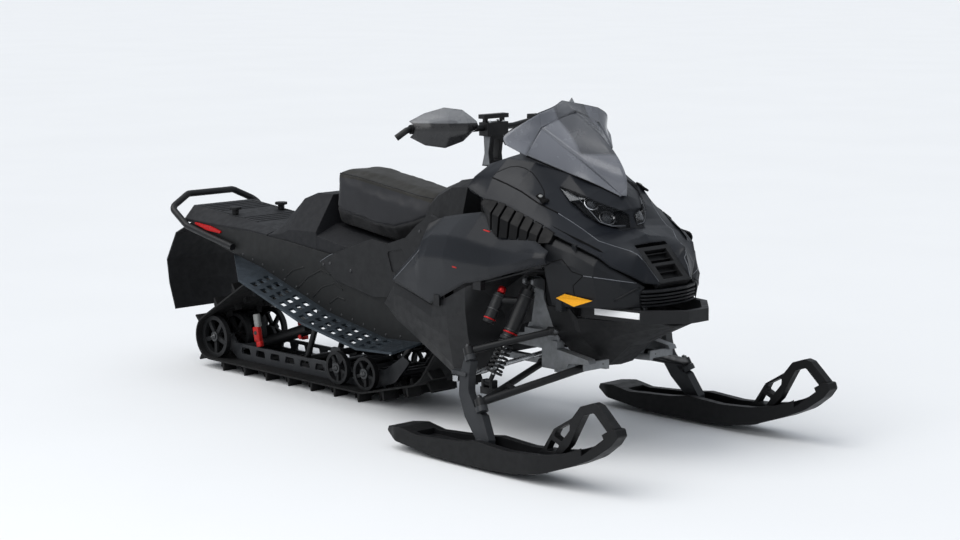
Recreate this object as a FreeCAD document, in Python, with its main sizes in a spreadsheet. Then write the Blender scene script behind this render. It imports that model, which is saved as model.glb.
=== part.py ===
import FreeCAD, Part
import math
import os

# Snowmobile. Millimetres. +X towards the ski tips, +Y to the rider's left, +Z up.
# The origin is on the floor under the middle of the vehicle.

V = FreeCAD.Vector
doc = FreeCAD.newDocument("snowmobile")
sheet = doc.addObject("Spreadsheet::Sheet", "sizes")

# Driving dimensions: alias, value, what it is.
SIZES = [
    ("ski_half_stance", 538.5, "from the middle plane to a ski's middle"),
    ("ski_width", 140, "overall width of a ski"),
    ("ski_channel", 84, "width of the channel along a ski's top"),
    ("wear_bar_width", 10, "width of the steel bar under a ski"),
    ("loop_width", 30, "thickness of the ski's front handle"),
    ("spindle_width", 34, "thickness of a spindle"),
    ("joint_boss_radius", 19, "radius of the arms' outer ball joint housings"),
    ("joint_boss_height", 26, "height of the arms' outer ball joint housings"),
    ("joint_gap", 1.0, "gap between a spindle and a ball joint housing"),
    ("arm_tube_radius", 12, "radius of the suspension arms' tubes"),
    ("lower_arm_radius", 14, "radius of the lower arms' tubes"),
    ("tie_rod_radius", 9, "radius of the tie rods"),
    ("rod_end_radius", 16, "radius of a tie rod's outer eye"),
    ("shock_radius", 25, "radius of a front damper's body"),
    ("shock_shaft_radius", 8, "radius of a front damper's shaft"),
    ("coil_radius", 26, "mean radius of a front spring"),
    ("coil_wire", 4.5, "radius of a front spring's wire"),
    ("shock_pin_radius", 11, "radius of the tubes that carry the rear dampers"),
    ("reservoir_radius", 21, "radius of a front damper's reservoir"),
    ("reservoir_length", 110, "length of the reservoir"),
    ("column_radius", 11, "radius of the steering post"),
    ("column_clearance", 6, "gap round the steering post where it passes a cover"),
    ("bar_radius", 11.5, "radius of the handlebar tube"),
    ("grip_radius", 17, "radius of a grip"),
    ("guard_wall", 4, "wall of the hand guards"),
    ("track_width", 381, "width of the track"),
    ("belt_thickness", 7, "thickness of the track's belt"),
    ("lug_height", 38, "height of the track's lugs"),
    ("lug_count", 48, "lug rows round the track"),
    ("lug_root", 16, "thickness of a lug at the belt"),
    ("lug_tip", 7, "thickness of a lug at its tip"),
    ("drive_lug_height", 22, "height of the drive lugs inside the track"),
    ("drive_lug_offset", 76, "from the middle plane to a row of drive lugs"),
    ("rear_idler_radius", 89, "radius of the rear idler wheels"),
    ("mid_idler_radius", 67.5, "radius of the middle idler wheels"),
    ("upper_idler_radius", 60, "radius of the upper idler wheels"),
    ("idler_width", 22, "width of an idler wheel"),
    ("idler_offset", 150, "from the middle plane to an outer idler's middle"),
    ("inner_idler_offset", 38, "from the middle plane to an inner idler's middle"),
    ("sprocket_radius", 84, "outer radius of the drive sprockets"),
    ("axle_radius", 12.5, "radius of the axles"),
    ("cross_tube_radius", 16, "radius of the suspension's cross tubes"),
    ("rail_offset", 106, "from the middle plane to a rail's middle"),
    ("rail_thickness", 12, "thickness of a rail"),
    ("shoe_height", 14, "height of the sliding shoe under a rail"),
    ("tunnel_half_width", 205, "from the middle plane to the tunnel's outside"),
    ("tunnel_wall", 4, "thickness of the tunnel's sheet"),
    ("board_width", 150, "width of a foot board"),
    ("board_thickness", 9, "thickness of a foot board"),
    ("board_drop", 18, "how much lower a foot board's outer edge lies"),
    ("panel_wall", 5, "wall of the body panels"),
    ("shield_wall", 4, "thickness of the windshield"),
    ("grille_half_width", 78, "from the middle plane to the nose grille's side"),
    ("bumper_height", 44, "height of the front bumper"),
    ("bumper_wall", 24, "depth of the front bumper's bar"),
    ("strip_thickness", 2, "thickness of the white strips"),
    ("rear_tube_radius", 14, "radius of the rear bumper's tube"),
    ("flap_thickness", 6, "thickness of the snow flap"),
    ("seat_half_width", 120, "half width of the seat's top"),
    ("seam_gap", 0.3, "gap between pieces that seat on each other"),
]
for row, (alias, value, meaning) in enumerate(SIZES, 1):
    sheet.set(f"A{row}", alias)
    sheet.set(f"B{row}", str(value))
    sheet.set(f"C{row}", meaning)
    sheet.setAlias(f"B{row}", alias)
doc.recompute()


def size(alias):
    return float(sheet.get(alias))


NODES = {}
SIDES = (("right", -1), ("left", 1))


def node(label, item):
    """Names the object that is one sub-part of the vehicle."""
    item.Label = label
    NODES[label] = item
    return item


def shape_object(name, shape):
    """A sub-part whose shape comes straight from Part's functions."""
    item = doc.addObject("Part::Feature", name)
    item.Shape = shape
    item.Placement = FreeCAD.Placement()
    return item


def mirrored(name, source):
    """The same piece on the other side of the vehicle."""
    item = doc.addObject("Part::Mirroring", name)
    item.Source = source
    item.Normal = V(0, 1, 0)
    return item


def grouped(name, items):
    item = doc.addObject("Part::Compound", name)
    item.Links = items
    return item


def both_sides(label, source):
    """One node that holds the right-hand piece and its mirror image."""
    return node(label, grouped(label, [source, mirrored(label + "_mirror", source)]))


def joined(name, items):
    item = doc.addObject("Part::MultiFuse", name)
    item.Shapes = items
    return item


def cut(name, base, tool):
    item = doc.addObject("Part::Cut", name)
    item.Base = base
    item.Tool = tool
    return item


def corner_edges(points):
    """Closed outline in a plane. A point (x, y, r) is rounded with radius r."""
    count = len(points)
    starts = []
    ends = []
    arcs = []
    for i, point in enumerate(points):
        here = V(point[0], point[1], 0)
        radius = point[2] if len(point) > 2 else 0
        if not radius:
            starts.append(here)
            ends.append(here)
            arcs.append(None)
            continue
        back = V(*points[i - 1][:2], 0) - here
        ahead = V(*points[(i + 1) % count][:2], 0) - here
        back.normalize()
        ahead.normalize()
        half = back.getAngle(ahead) / 2
        reach = radius / math.tan(half)
        middle = back + ahead
        middle.normalize()
        centre = here + middle * (radius / math.sin(half))
        starts.append(here + back * reach)
        ends.append(here + ahead * reach)
        arcs.append(Part.Arc(starts[-1], centre - middle * radius, ends[-1]))
    edges = []
    for i in range(count):
        if arcs[i]:
            edges.append(arcs[i])
        following = starts[(i + 1) % count]
        if (following - ends[i]).Length > 1e-6:
            edges.append(Part.LineSegment(ends[i], following))
    return edges


def sketch_on(body, name, role, outlines, circles=()):
    """A sketch on one of the body's own origin planes."""
    sketch = body.newObject("Sketcher::SketchObject", name)
    plane = [item for item in body.Origin.OriginFeatures if item.Role == role][0]
    sketch.AttachmentSupport = [(plane, "")]
    sketch.MapMode = "FlatFace"
    for outline in outlines:
        for edge in corner_edges(outline):
            sketch.addGeometry(edge, False)
    for x, y, radius in circles:
        sketch.addGeometry(Part.Circle(V(x, y, 0), V(0, 0, 1), radius), False)
    return sketch


def plate(name, role, outlines, length, middle=V(0, 0, 0), circles=()):
    """A pad on both sides of an origin plane; length is an expression on the sheet."""
    body = doc.addObject("PartDesign::Body", name)
    sketch = sketch_on(body, name + "_outline", role, outlines, circles)
    pad = body.newObject("PartDesign::Pad", name + "_pad")
    pad.Profile = sketch
    pad.SideType = "Symmetric"
    pad.setExpression("Length", length)
    body.Placement = FreeCAD.Placement(middle, FreeCAD.Rotation())
    return body


def side_plate(name, outlines, length, out, circles=()):
    """A plate with its outline in side view, centred a distance out on the right."""
    return plate(name, "XZ_Plane", outlines, length, V(0, -out, 0), circles)


def rod(name, start, end, radius):
    """A round bar between two points; radius is an alias of the sheet."""
    item = doc.addObject("Part::Cylinder", name)
    item.setExpression("Radius", "sizes." + radius)
    item.Height = (end - start).Length
    item.Placement = FreeCAD.Placement(start, FreeCAD.Rotation(V(0, 0, 1), end - start))
    return item


def disc(name, middle, direction, radius, height):
    """A round plate or boss centred on a point; plain sizes."""
    item = doc.addObject("Part::Cylinder", name)
    item.Radius = radius
    item.Height = height
    axis = V(direction)
    axis.normalize()
    item.Placement = FreeCAD.Placement(middle - axis * (height / 2), FreeCAD.Rotation(V(0, 0, 1), axis))
    return item


def offset_line(points, distance):
    """The polyline moved sideways, to the right of its direction, with mitred corners."""
    normals = []
    for (y0, z0), (y1, z1) in zip(points, points[1:]):
        length = math.hypot(y1 - y0, z1 - z0)
        normals.append(((z1 - z0) / length, -(y1 - y0) / length))
    moved = []
    for i, (y, z) in enumerate(points):
        before = normals[max(i - 1, 0)]
        after = normals[min(i, len(normals) - 1)]
        ny = before[0] + after[0]
        nz = before[1] + after[1]
        scale = distance * 2 / max(ny * ny + nz * nz, 1.0)
        moved.append((y + ny * scale, z + nz * scale))
    return moved


def section_polygon(name, x, points):
    item = doc.addObject("Part::Polygon", name)
    item.Nodes = [V(x, y, z) for y, z in points]
    item.Close = True
    return item


def loft(name, sections):
    """A solid through closed sections (x, [(y, z), ...])."""
    item = doc.addObject("Part::Loft", name)
    item.Sections = [section_polygon(f"{name}_section_{i}", x, points)
                     for i, (x, points) in enumerate(sections)]
    item.Solid = True
    item.Ruled = True
    return item


def skin(name, sections, wall):
    """A moulded panel: open outlines (x, [(y, z), ...]) run clockwise seen from the front."""
    closed = []
    for x, points in sections:
        closed.append((x, points + offset_line(points, wall)[::-1]))
    return loft(name, closed)


def right_side(sections):
    """Outlines given as (distance out, height), turned to the right-hand side."""
    return [(x, [(-out, z) for out, z in points]) for x, points in sections]


def across(sections):
    """Outlines given from the middle outwards, completed over both sides."""
    full = []
    for x, points in sections:
        right = [(-out, z) for out, z in reversed(points)]
        left = [(out, z) for out, z in points if out > 0]
        full.append((x, right + left))
    return full


def even(x, points):
    """A closed section from (distance out, height) of its right side, foot first."""
    right = [(-out, z) for out, z in points]
    left = [(out, z) for out, z in reversed(points)]
    return x, right + left


def block(name, low, high):
    item = doc.addObject("Part::Box", name)
    item.Length = high.x - low.x
    item.Width = high.y - low.y
    item.Height = high.z - low.z
    item.Placement = FreeCAD.Placement(low, FreeCAD.Rotation())
    return item


def bent_tube(name, points, radius, bend):
    """A round tube along straight runs joined by tangent arcs."""
    edges = []
    start = points[0]
    for i in range(1, len(points) - 1):
        back = points[i - 1] - points[i]
        ahead = points[i + 1] - points[i]
        back.normalize()
        ahead.normalize()
        half = back.getAngle(ahead) / 2
        reach = bend / math.tan(half)
        middle = back + ahead
        middle.normalize()
        centre = points[i] + middle * (bend / math.sin(half))
        first = points[i] + back * reach
        last = points[i] + ahead * reach
        edges.append(Part.LineSegment(start, first).toShape())
        edges.append(Part.Arc(first, centre - middle * bend, last).toShape())
        start = last
    edges.append(Part.LineSegment(start, points[-1]).toShape())
    path = Part.Wire(edges)
    direction = points[1] - points[0]
    profile = Part.Wire([Part.makeCircle(radius, points[0], direction)])
    return shape_object(name, path.makePipeShell([profile], True, False))


# Steering axes. The handlebar's column leans forward at its foot; each king pin leans
# back and inward at its top and runs through both ball joints of its side.
COLUMN_TOP = V(335, 0, 965)
COLUMN_TILT = math.radians(38)
COLUMN_DOWN = V(math.sin(COLUMN_TILT), 0, -math.cos(COLUMN_TILT))
COLUMN_LENGTH = 690
COLUMN_FOOT = COLUMN_TOP + COLUMN_DOWN * COLUMN_LENGTH
UPPER_JOINT = V(748, -498, 380)
LOWER_JOINT = V(835, -525, 215)
KING_PIN = UPPER_JOINT - LOWER_JOINT
KING_PIN.normalize()
stance = size("ski_half_stance")
seam = size("seam_gap")
wall = size("panel_wall")


# Track. The belt's inner line is a loop of straight runs tangent to these wheels.
REAR_IDLER = V(-1235, 0, size("rear_idler_radius") + size("belt_thickness") + size("lug_height"))
GROUND_BELT = size("belt_thickness") + size("lug_height")
MID_IDLERS = [V(-413, 0, GROUND_BELT + size("mid_idler_radius")),
              V(-240, 0, GROUND_BELT + size("mid_idler_radius"))]
DRIVER = V(185, 0, 360)
UPPER_IDLER = V(-785, 0, 428)
RAIL_TIP = V(30, 0, 250)
RAIL_TIP_RADIUS = 140
RAMP_START = V(-240, 0, 130 + GROUND_BELT)
BELT_LOOP = [
    (REAR_IDLER, size("rear_idler_radius")),
    (RAMP_START, 130),
    (RAIL_TIP, RAIL_TIP_RADIUS),
    (DRIVER, size("sprocket_radius")),
    (UPPER_IDLER, size("upper_idler_radius")),
]


def tangent_points(first, first_radius, second, second_radius):
    """Where a belt leaves one wheel and meets the next one along the loop."""
    run = second - first
    distance = run.Length
    run.normalize()
    lean = math.asin((first_radius - second_radius) / distance)
    out = V(run.z, 0, -run.x)
    normal = out * math.cos(lean) + run * math.sin(lean)
    return first + normal * first_radius, second + normal * second_radius


def belt_wire(extra):
    """The belt's line, moved out by a distance."""
    leaves = []
    meets = []
    count = len(BELT_LOOP)
    for i, (centre, radius) in enumerate(BELT_LOOP):
        following, following_radius = BELT_LOOP[(i + 1) % count]
        leave, meet = tangent_points(centre, radius + extra, following, following_radius + extra)
        leaves.append(leave)
        meets.append(meet)
    edges = []
    for i, (centre, radius) in enumerate(BELT_LOOP):
        start = meets[i - 1]
        end = leaves[i]
        middle = (start - centre) + (end - centre)
        middle.normalize()
        span = (start - centre).getAngle(end - centre)
        turn = (start - centre).cross(end - centre).y
        if turn > 0 and span < math.pi:
            middle = middle * -1
        if span > 0.02:
            edges.append(Part.Arc(start, centre + middle * (radius + extra), end).toShape())
        edges.append(Part.LineSegment(leaves[i], meets[i]).toShape())
    return Part.Wire(Part.__sortEdges__(edges))


def straight_extrusion(wire, width):
    face = Part.Face(wire)
    return face.extrude(V(0, width, 0)).translated(V(0, -width / 2, 0))


def lug(width, root, tip, height, sink):
    """A tapered lug that stands on z = 0 and reaches a little into the belt."""
    y = -width / 2
    profile = [V(-root / 2, y, -sink), V(root / 2, y, -sink), V(root / 2, y, 0), V(tip / 2, y, height),
               V(-tip / 2, y, height), V(-root / 2, y, 0)]
    face = Part.Face(Part.makePolygon(profile + profile[:1]))
    return face.extrude(V(0, width, 0))


def make_track():
    width = size("track_width")
    thickness = size("belt_thickness")
    outer = belt_wire(thickness)
    inner = belt_wire(0)
    band = straight_extrusion(outer, width).cut(straight_extrusion(inner, width + 20))
    count = int(size("lug_count"))
    pieces = []
    sink = 2
    for i in range(count):
        place = outer.Length * (i + 0.5) / count
        point, along = point_on(outer, place)
        normal = V(along.z, 0, -along.x)
        turn = FreeCAD.Rotation(V(0, 1, 0), math.degrees(math.atan2(normal.x, normal.z)))
        centre_row = i % 2 == 0
        for middle, span in (((0, 120), (-148, 66), (148, 66)) if centre_row else ((-88, 92), (88, 92))):
            item = lug(span, size("lug_root"), size("lug_tip"), size("lug_height"), sink)
            item.Placement = FreeCAD.Placement(point + V(0, middle, 0), turn)
            pieces.append(item)
        for side in (-1, 1):
            tooth = lug(26, 22, 12, size("drive_lug_height"), sink)
            root = point - normal * thickness
            tooth.Placement = FreeCAD.Placement(root + V(0, side * size("drive_lug_offset"), 0),
                                                turn * FreeCAD.Rotation(V(0, 1, 0), 180))
            pieces.append(tooth)
    return node("track", shape_object("track", band.multiFuse(pieces)))


def point_on(wire, place):
    """The point at a distance along a wire, and the wire's direction there."""
    for edge in wire.OrderedEdges:
        if place <= edge.Length:
            parameter = edge.getParameterByLength(place)
            if edge.Orientation == "Reversed":
                parameter = edge.getParameterByLength(edge.Length - place)
            along = edge.tangentAt(parameter)
            if edge.Orientation == "Reversed":
                along = along * -1
            return edge.valueAt(parameter), along
        place -= edge.Length
    return wire.OrderedEdges[-1].valueAt(wire.OrderedEdges[-1].LastParameter), V(1, 0, 0)


make_track()


def triangle_face(a, b, c):
    return Part.Face(Part.makePolygon([a, b, c, a]))


def faceted_shell(points, triangles, wall):
    """A sheet of flat facets given its thickness on the inner side of each corner."""
    normals = [V(0, 0, 0) for _ in points]
    edges = {}
    for triangle in triangles:
        a, b, c = (points[i] for i in triangle)
        normal = (b - a).cross(c - a)
        normal.normalize()
        for i in triangle:
            normals[i] = normals[i] + normal
        for i in range(3):
            edge = (triangle[i], triangle[(i + 1) % 3])
            if edge[::-1] in edges:
                del edges[edge[::-1]]
            else:
                edges[edge] = True
    inner = []
    for point, normal in zip(points, normals):
        normal.normalize()
        inner.append(point - normal * wall)
    faces = []
    for i, j, k in triangles:
        faces.append(triangle_face(points[i], points[j], points[k]))
        faces.append(triangle_face(inner[i], inner[k], inner[j]))
    for i, j in edges:
        faces.append(triangle_face(points[i], inner[i], points[j]))
        faces.append(triangle_face(points[j], inner[i], inner[j]))
    solid = Part.Solid(Part.Shell(faces))
    if solid.Volume < 0:
        solid.reverse()
    return solid


def strips(rows):
    """Triangles between rows of point numbers that run side by side."""
    triangles = []
    for row, following in zip(rows, rows[1:]):
        for i in range(len(row) - 1):
            triangles.append((row[i], row[i + 1], following[i]))
            triangles.append((following[i], row[i + 1], following[i + 1]))
    return triangles


def spoked_wheel(middle, radius, width, hub):
    """An idler wheel: tread ring, hub and five spokes."""
    along = V(0, width, 0)
    ring = Part.makeCylinder(radius, width, V(0, 0, 0), V(0, 1, 0))
    ring = ring.cut(Part.makeCylinder(radius * 0.8, width, V(0, 0, 0), V(0, 1, 0)))
    pieces = [ring, Part.makeCylinder(hub, width, V(0, 0, 0), V(0, 1, 0))]
    for i in range(5):
        spoke = Part.makeBox(radius * 0.66, width * 0.6, radius * 0.2,
                             V(radius * 0.18, width * 0.2, -radius * 0.1))
        spoke.rotate(V(0, 0, 0), V(0, 1, 0), 72 * i + 18)
        pieces.append(spoke)
    wheel = pieces[0].multiFuse(pieces[1:])
    wheel.translate(middle - along / 2)
    return wheel


def axle(middle, half_length):
    return Part.makeCylinder(size("axle_radius"), 2 * half_length, middle - V(0, half_length, 0), V(0, 1, 0))


def idler_set(label, centres, radius, offsets, half_length):
    """Wheels on both sides of each axle, fixed to it."""
    sets = []
    for centre in centres:
        pieces = [axle(centre, half_length)]
        for offset in offsets:
            for side in (-1, 1):
                pieces.append(spoked_wheel(centre + V(0, side * offset, 0), radius, size("idler_width"), 22))
        sets.append(pieces[0].multiFuse(pieces[1:]))
    shape = sets[0] if len(sets) == 1 else Part.makeCompound(sets)
    return node(label, shape_object(label, shape))


def make_idlers():
    outer = size("idler_offset")
    idler_set("rear_idlers", [REAR_IDLER], size("rear_idler_radius") - seam,
              [outer, size("inner_idler_offset")], outer + 16)
    idler_set("mid_idlers", MID_IDLERS, size("mid_idler_radius") - seam, [outer], outer + 16)
    idler_set("upper_idlers", [UPPER_IDLER], size("upper_idler_radius") - seam, [outer - 20],
              size("tunnel_half_width") - size("tunnel_wall") - seam)


def make_drive_axle():
    reach = size("tunnel_half_width") + 24
    pieces = [axle(DRIVER, reach)]
    for side in (-1, 1):
        for offset in (size("drive_lug_offset") - 34, size("drive_lug_offset") + 34):
            wheel = Part.makeCylinder(size("sprocket_radius") - seam, 14,
                                      DRIVER + V(0, side * offset - 7, 0), V(0, 1, 0))
            pieces.append(wheel)
    return node("drive_axle", shape_object("drive_axle", pieces[0].multiFuse(pieces[1:])))


# Slide rails: plates with lightening windows over a sliding shoe, turned up at the front.
RAIL_TOP = 112
RAIL_TIES = [V(-1110, 0, 98), V(-560, 0, 98), V(-475, 0, 160), V(-105, 0, 120)]


def make_rails():
    floor = GROUND_BELT + seam
    front = V(-20, 0, 190)
    outline = [(-1300, 118, 8), (-1290, 150, 8), (-1180, 150, 10), (-1150, RAIL_TOP, 10),
               (-530, RAIL_TOP, 20), (-502, 180, 10), (-448, 180, 10), (-425, RAIL_TOP, 20), (-330, RAIL_TOP, 20),
               (-170, 132, 40), (front.x - 40, front.z + 10, 8), (front.x, front.z - 8, 8), (-110, 88, 60),
               (-245, floor, 60), (-1140, floor, 20), (-1180, 72, 20), (-1290, 105, 8)]
    windows = []
    for x in range(-1080, -480, 100):
        windows.append([(x - 34, 70, 6), (x + 34, 70, 6), (x + 26, 98, 6), (x - 26, 98, 6)])
    windows.append([(-395, 70, 6), (-300, 70, 6), (-300, 95, 6), (-380, 95, 6)])
    rail = side_plate("rail_right", [outline] + windows, "sizes.rail_thickness", size("rail_offset"),
                      [(REAR_IDLER.x, REAR_IDLER.z, size("axle_radius") + seam)])
    holes = joined("rail_axle_holes", [disc(f"rail_hole_{i}", centre, V(0, 1, 0),
                                            size("axle_radius") + seam, 300)
                                       for i, centre in enumerate(MID_IDLERS)])
    pair = grouped("rail_pair", [rail, mirrored("rail_left", rail)])
    plates = cut("rail_plates", pair, holes)
    inner = size("rail_offset")
    ties = []
    for i, place in enumerate(RAIL_TIES):
        ties.append(rod(f"rail_tie_{i}", place - V(0, inner, 0), place + V(0, inner, 0), "axle_radius"))
    return node("slide_rails", joined("slide_rails", [plates] + ties))


make_idlers()
make_drive_axle()
make_rails()

# Tunnel: an inverted channel of folded sheet, open below and at both ends.
TUNNEL_TOP = [(-1325, 618), (-915, 618), (-650, 602), (-364, 574), (60, 556), (290, 520)]
TUNNEL_FOOT = [(300, 300), (-50, 283), (-385, 340), (-825, 474), (-1025, 516), (-1300, 584)]


def make_tunnel():
    half = size("tunnel_half_width")
    wall = size("tunnel_wall")
    outer = plate("tunnel_outer", "XZ_Plane", [TUNNEL_TOP + TUNNEL_FOOT], "2 * sizes.tunnel_half_width")
    low = [(x, z - wall) for x, z in TUNNEL_TOP]
    low[0] = (low[0][0] - 100, low[0][1])
    low[-1] = (low[-1][0] + 100, low[-1][1] - 40)
    inner = plate("tunnel_inner", "XZ_Plane", [low + [(390, 0), (-1425, 0)]],
                  "2 * (sizes.tunnel_half_width - sizes.tunnel_wall)")
    sheet_metal = cut("tunnel_sheet", outer, inner)
    bearing = disc("tunnel_bearing_hole", DRIVER, V(0, 1, 0), size("axle_radius") + seam, 3 * half)
    return node("tunnel", cut("tunnel", sheet_metal, bearing))


def make_running_boards():
    """Perforated boards that hang outward from the tunnel's lower edges."""
    inner = size("tunnel_half_width") + seam
    outer = inner + size("board_width")
    thick = size("board_thickness")
    drop = size("board_drop")
    top_in = [(-1020, 515), (-825, 477), (-385, 343), (-50, 286), (160, 296)]
    top_out = [(-790, 468), (-770, 462), (-385, 343), (-50, 286), (160, 296)]
    sections = []
    for name, y, line, fall in (("in", -inner, top_in, 0), ("out", -outer, top_out, drop)):
        points = [V(x, y, z - fall) for x, z in line] + [V(x, y, z - fall - thick) for x, z in reversed(line)]
        polygon = doc.addObject("Part::Polygon", f"board_section_{name}")
        polygon.Nodes = points
        polygon.Close = True
        sections.append(polygon)
    board = doc.addObject("Part::Loft", "board_blank")
    board.Sections = sections
    board.Solid = True
    board.Ruled = True
    holes = []
    for i in range(13):
        x = -760 + i * 62
        for j, y in enumerate((-inner - 36, -inner - 76, -inner - 116)):
            holes.append(block(f"board_hole_{i}_{j}", V(x + 10 * j, y - 13, 200),
                               V(x + 10 * j + 34, y + 13, 520)))
    pierced = cut("board_right", board, grouped("board_holes", holes))
    return both_sides("running_boards", pierced)


def make_rear_bumper():
    half = size("tunnel_half_width") + size("rear_tube_radius") + seam
    points = [V(-1010, -half, 545), V(-1180, -half, 575), V(-1330, -half, 604), V(-1440, -half, 672),
              V(-1462, -118, 722),
              V(-1462, 118, 722), V(-1440, half, 672), V(-1330, half, 604), V(-1180, half, 575),
              V(-1010, half, 545)]
    return node("rear_bumper", bent_tube("rear_bumper", points, size("rear_tube_radius"), 40))


def make_snow_flap():
    thick = size("flap_thickness")
    line = [(-1325.6, 612.6), (-1440, 560), (-1512, 440), (-1498, 340), (-1459, 232)]
    back = offset_line(line, thick)
    flap = plate("flap_sheet", "XZ_Plane", [line + back[::-1]], "2 * sizes.tunnel_half_width - 10")
    ribs = []
    for i, y in enumerate((-120, -40, 40, 120)):
        rib = plate(f"flap_rib_{i}", "XZ_Plane", [[(-1502, 352), (-1463, 238), (-1480, 238), (-1527, 352),
                                                   (-1516, 400)]],
                    "sizes.flap_thickness * 2", V(0, y, 0))
        ribs.append(rib)
    return node("snow_flap", joined("snow_flap", [flap] + ribs))


make_tunnel()
make_running_boards()
make_rear_bumper()
make_snow_flap()


def deck_base(x):
    """Height of the tunnel's top at x."""
    for (x0, z0), (x1, z1) in zip(TUNNEL_TOP, TUNNEL_TOP[1:]):
        if x0 <= x <= x1:
            return z0 + (z1 - z0) * (x - x0) / (x1 - x0) + seam
    return TUNNEL_TOP[0][1] + seam


def crown(x, half_base, half_top, edge, top):
    """A closed deck section: flat base, low edge, bevel and flat top."""
    base = deck_base(x)
    right = [(-half_base, base), (-half_base, edge), (-half_top, top)]
    left = [(half_top, top), (half_base, edge), (half_base, base)]
    return x, right + left


def make_tail_housing():
    half = size("tunnel_half_width")
    sections = [crown(-1400, half - 30, 148, 632, 662), crown(-1372, half - 4, 152, 632, 684),
                crown(-1180, half, 150, 628, 668), crown(-915, half, 150, 626, 644),
                crown(-790, half, 150, 618, 632)]
    return node("tail_housing", loft("tail_housing", sections))


def make_rear_trunk():
    half = size("tunnel_half_width")
    sections = [crown(-790 + seam, half - 2, 148, 616, 630), crown(-705, half - 4, 128, 628, 712),
                crown(-650, half - 4, 117, 648, 768), crown(-575, half - 4, 110, 652, 796),
                crown(-478, half - 4, 108, 655, 798), crown(-474, half - 6, 100, 640, 680),
                crown(-364, half - 8, 100, 622, 658), crown(-180, half - 8, 100, 600, 638),
                crown(-110, half - 8, 100, 600, 632)]
    return node("rear_trunk", loft("rear_trunk", sections))


def make_tail_lamps():
    y = size("tunnel_half_width") + 3
    lamp = plate("tail_lamp_right", "XZ_Plane", [[(-1330, 626, 4), (-1180, 617, 4), (-1100, 600, 4),
                                                  (-1110, 592, 4), (-1200, 596, 4)]],
                 "6", V(0, -y - 0.3, 0))
    return both_sides("tail_lamps", lamp)


def make_cargo_anchors():
    knobs = []
    for i, side in enumerate((-1, 1)):
        middle = V(-1120, side * 120, 0)
        z = 664.2
        knobs.append(Part.makeCylinder(14, 20, middle + V(0, 0, z), V(0, 0, 1)).fuse(
            Part.makeCylinder(26, 10, middle + V(0, 0, z + 20), V(0, 0, 1))))
    return node("cargo_anchors", shape_object("cargo_anchors", Part.makeCompound(knobs)))


def make_seat():
    """The padded seat: a flat top, sides that lean in and a band below."""
    t = size("seat_half_width")
    sections = [even(-470, [(96, 690), (t - 8, 755), (t - 14, 890)]),
                even(-440, [(112, 682), (t + 8, 748), (t - 4, 900)]),
                even(-330, [(118, 664), (t + 14, 728), (t, 898)]),
                even(-180, [(120, 645), (t + 18, 708), (t, 880)]),
                even(-80, [(118, 640), (t + 14, 704), (t - 4, 866)]),
                even(20, [(108, 662), (t + 4, 730), (t - 12, 850)]),
                even(118, [(90, 700), (t - 12, 768), (t - 32, 836)])]
    return node("seat", loft("seat", sections))


def make_console():
    """The cover between seat and dash, with a bush for the steering post."""
    sections = []
    for x, low, high, top in (
            (-105, (200, 580), (130, 630), (100, 636)), (20, (200, 580), (140, 640), (90, 654)),
            (60, (200, 584), (140, 655), (90, 667)), (119, (200, 590), (130, 676), (90, 690)),
            (121, (200, 640), (130, 800), (90, 838)), (200, (200, 640), (150, 850), (100, 880)),
            (290, (200, 660), (168, 887), (118, 909))):
        sections.append(even(x, [(200, deck_base(x)), low, high, top]))
    sections.append(even(306, [(232, 700), (232, 720), (180, 892), (126, 916)]))
    sections.append(even(420, [(245, 720), (245, 740), (200, 905), (140, 935)]))
    raw = loft("console_block", sections)
    room = column_hole("console_post_hole", COLUMN_TOP - COLUMN_DOWN * 100, COLUMN_LENGTH + 100,
                       "sizes.column_radius + sizes.column_clearance")
    opened = cut("console_open", raw, room)
    depth = 95
    bush = disc("console_bush", COLUMN_TOP + COLUMN_DOWN * depth, COLUMN_DOWN, size("column_radius") + 12, 30)
    bore = column_hole("console_bush_bore", COLUMN_TOP + COLUMN_DOWN * (depth - 20), 40,
                       "sizes.column_radius + sizes.seam_gap")
    bearing = cut("console_bearing", bush, bore)
    return node("console", joined("console", [opened, bearing]))


def column_hole(name, start, length, radius):
    """A round hole along the steering column."""
    item = doc.addObject("Part::Cylinder", name)
    item.setExpression("Radius", radius)
    item.Height = length
    item.Placement = FreeCAD.Placement(start, FreeCAD.Rotation(V(0, 0, 1), COLUMN_DOWN))
    return item


def make_side_covers():
    outline = [(-440, 548), (-372, 576), (-115, 664), (-20, 655), (90, 690), (150, 740), (230, 786),
               (294, 776), (290, 700),
               (168, 556), (160, 530), (120, 470), (-100, 440), (-330, 480)]
    recess = [[(-20, 625, 10), (80, 645, 14), (96, 560, 10), (10, 545, 14)]]
    cover = side_plate("side_cover_right", [outline], "14", size("tunnel_half_width") + seam + 7)
    pocket = side_plate("side_cover_recess", recess, "8", size("tunnel_half_width") + seam + 14)
    return both_sides("side_covers", cut("side_cover", cover, pocket))


def make_engine():
    return node("engine", block("engine", V(325, -190, 310), V(590, 190, 600)))


make_tail_housing()
make_rear_trunk()
make_tail_lamps()
make_cargo_anchors()
make_seat()
make_console()
make_side_covers()
make_engine()


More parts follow.
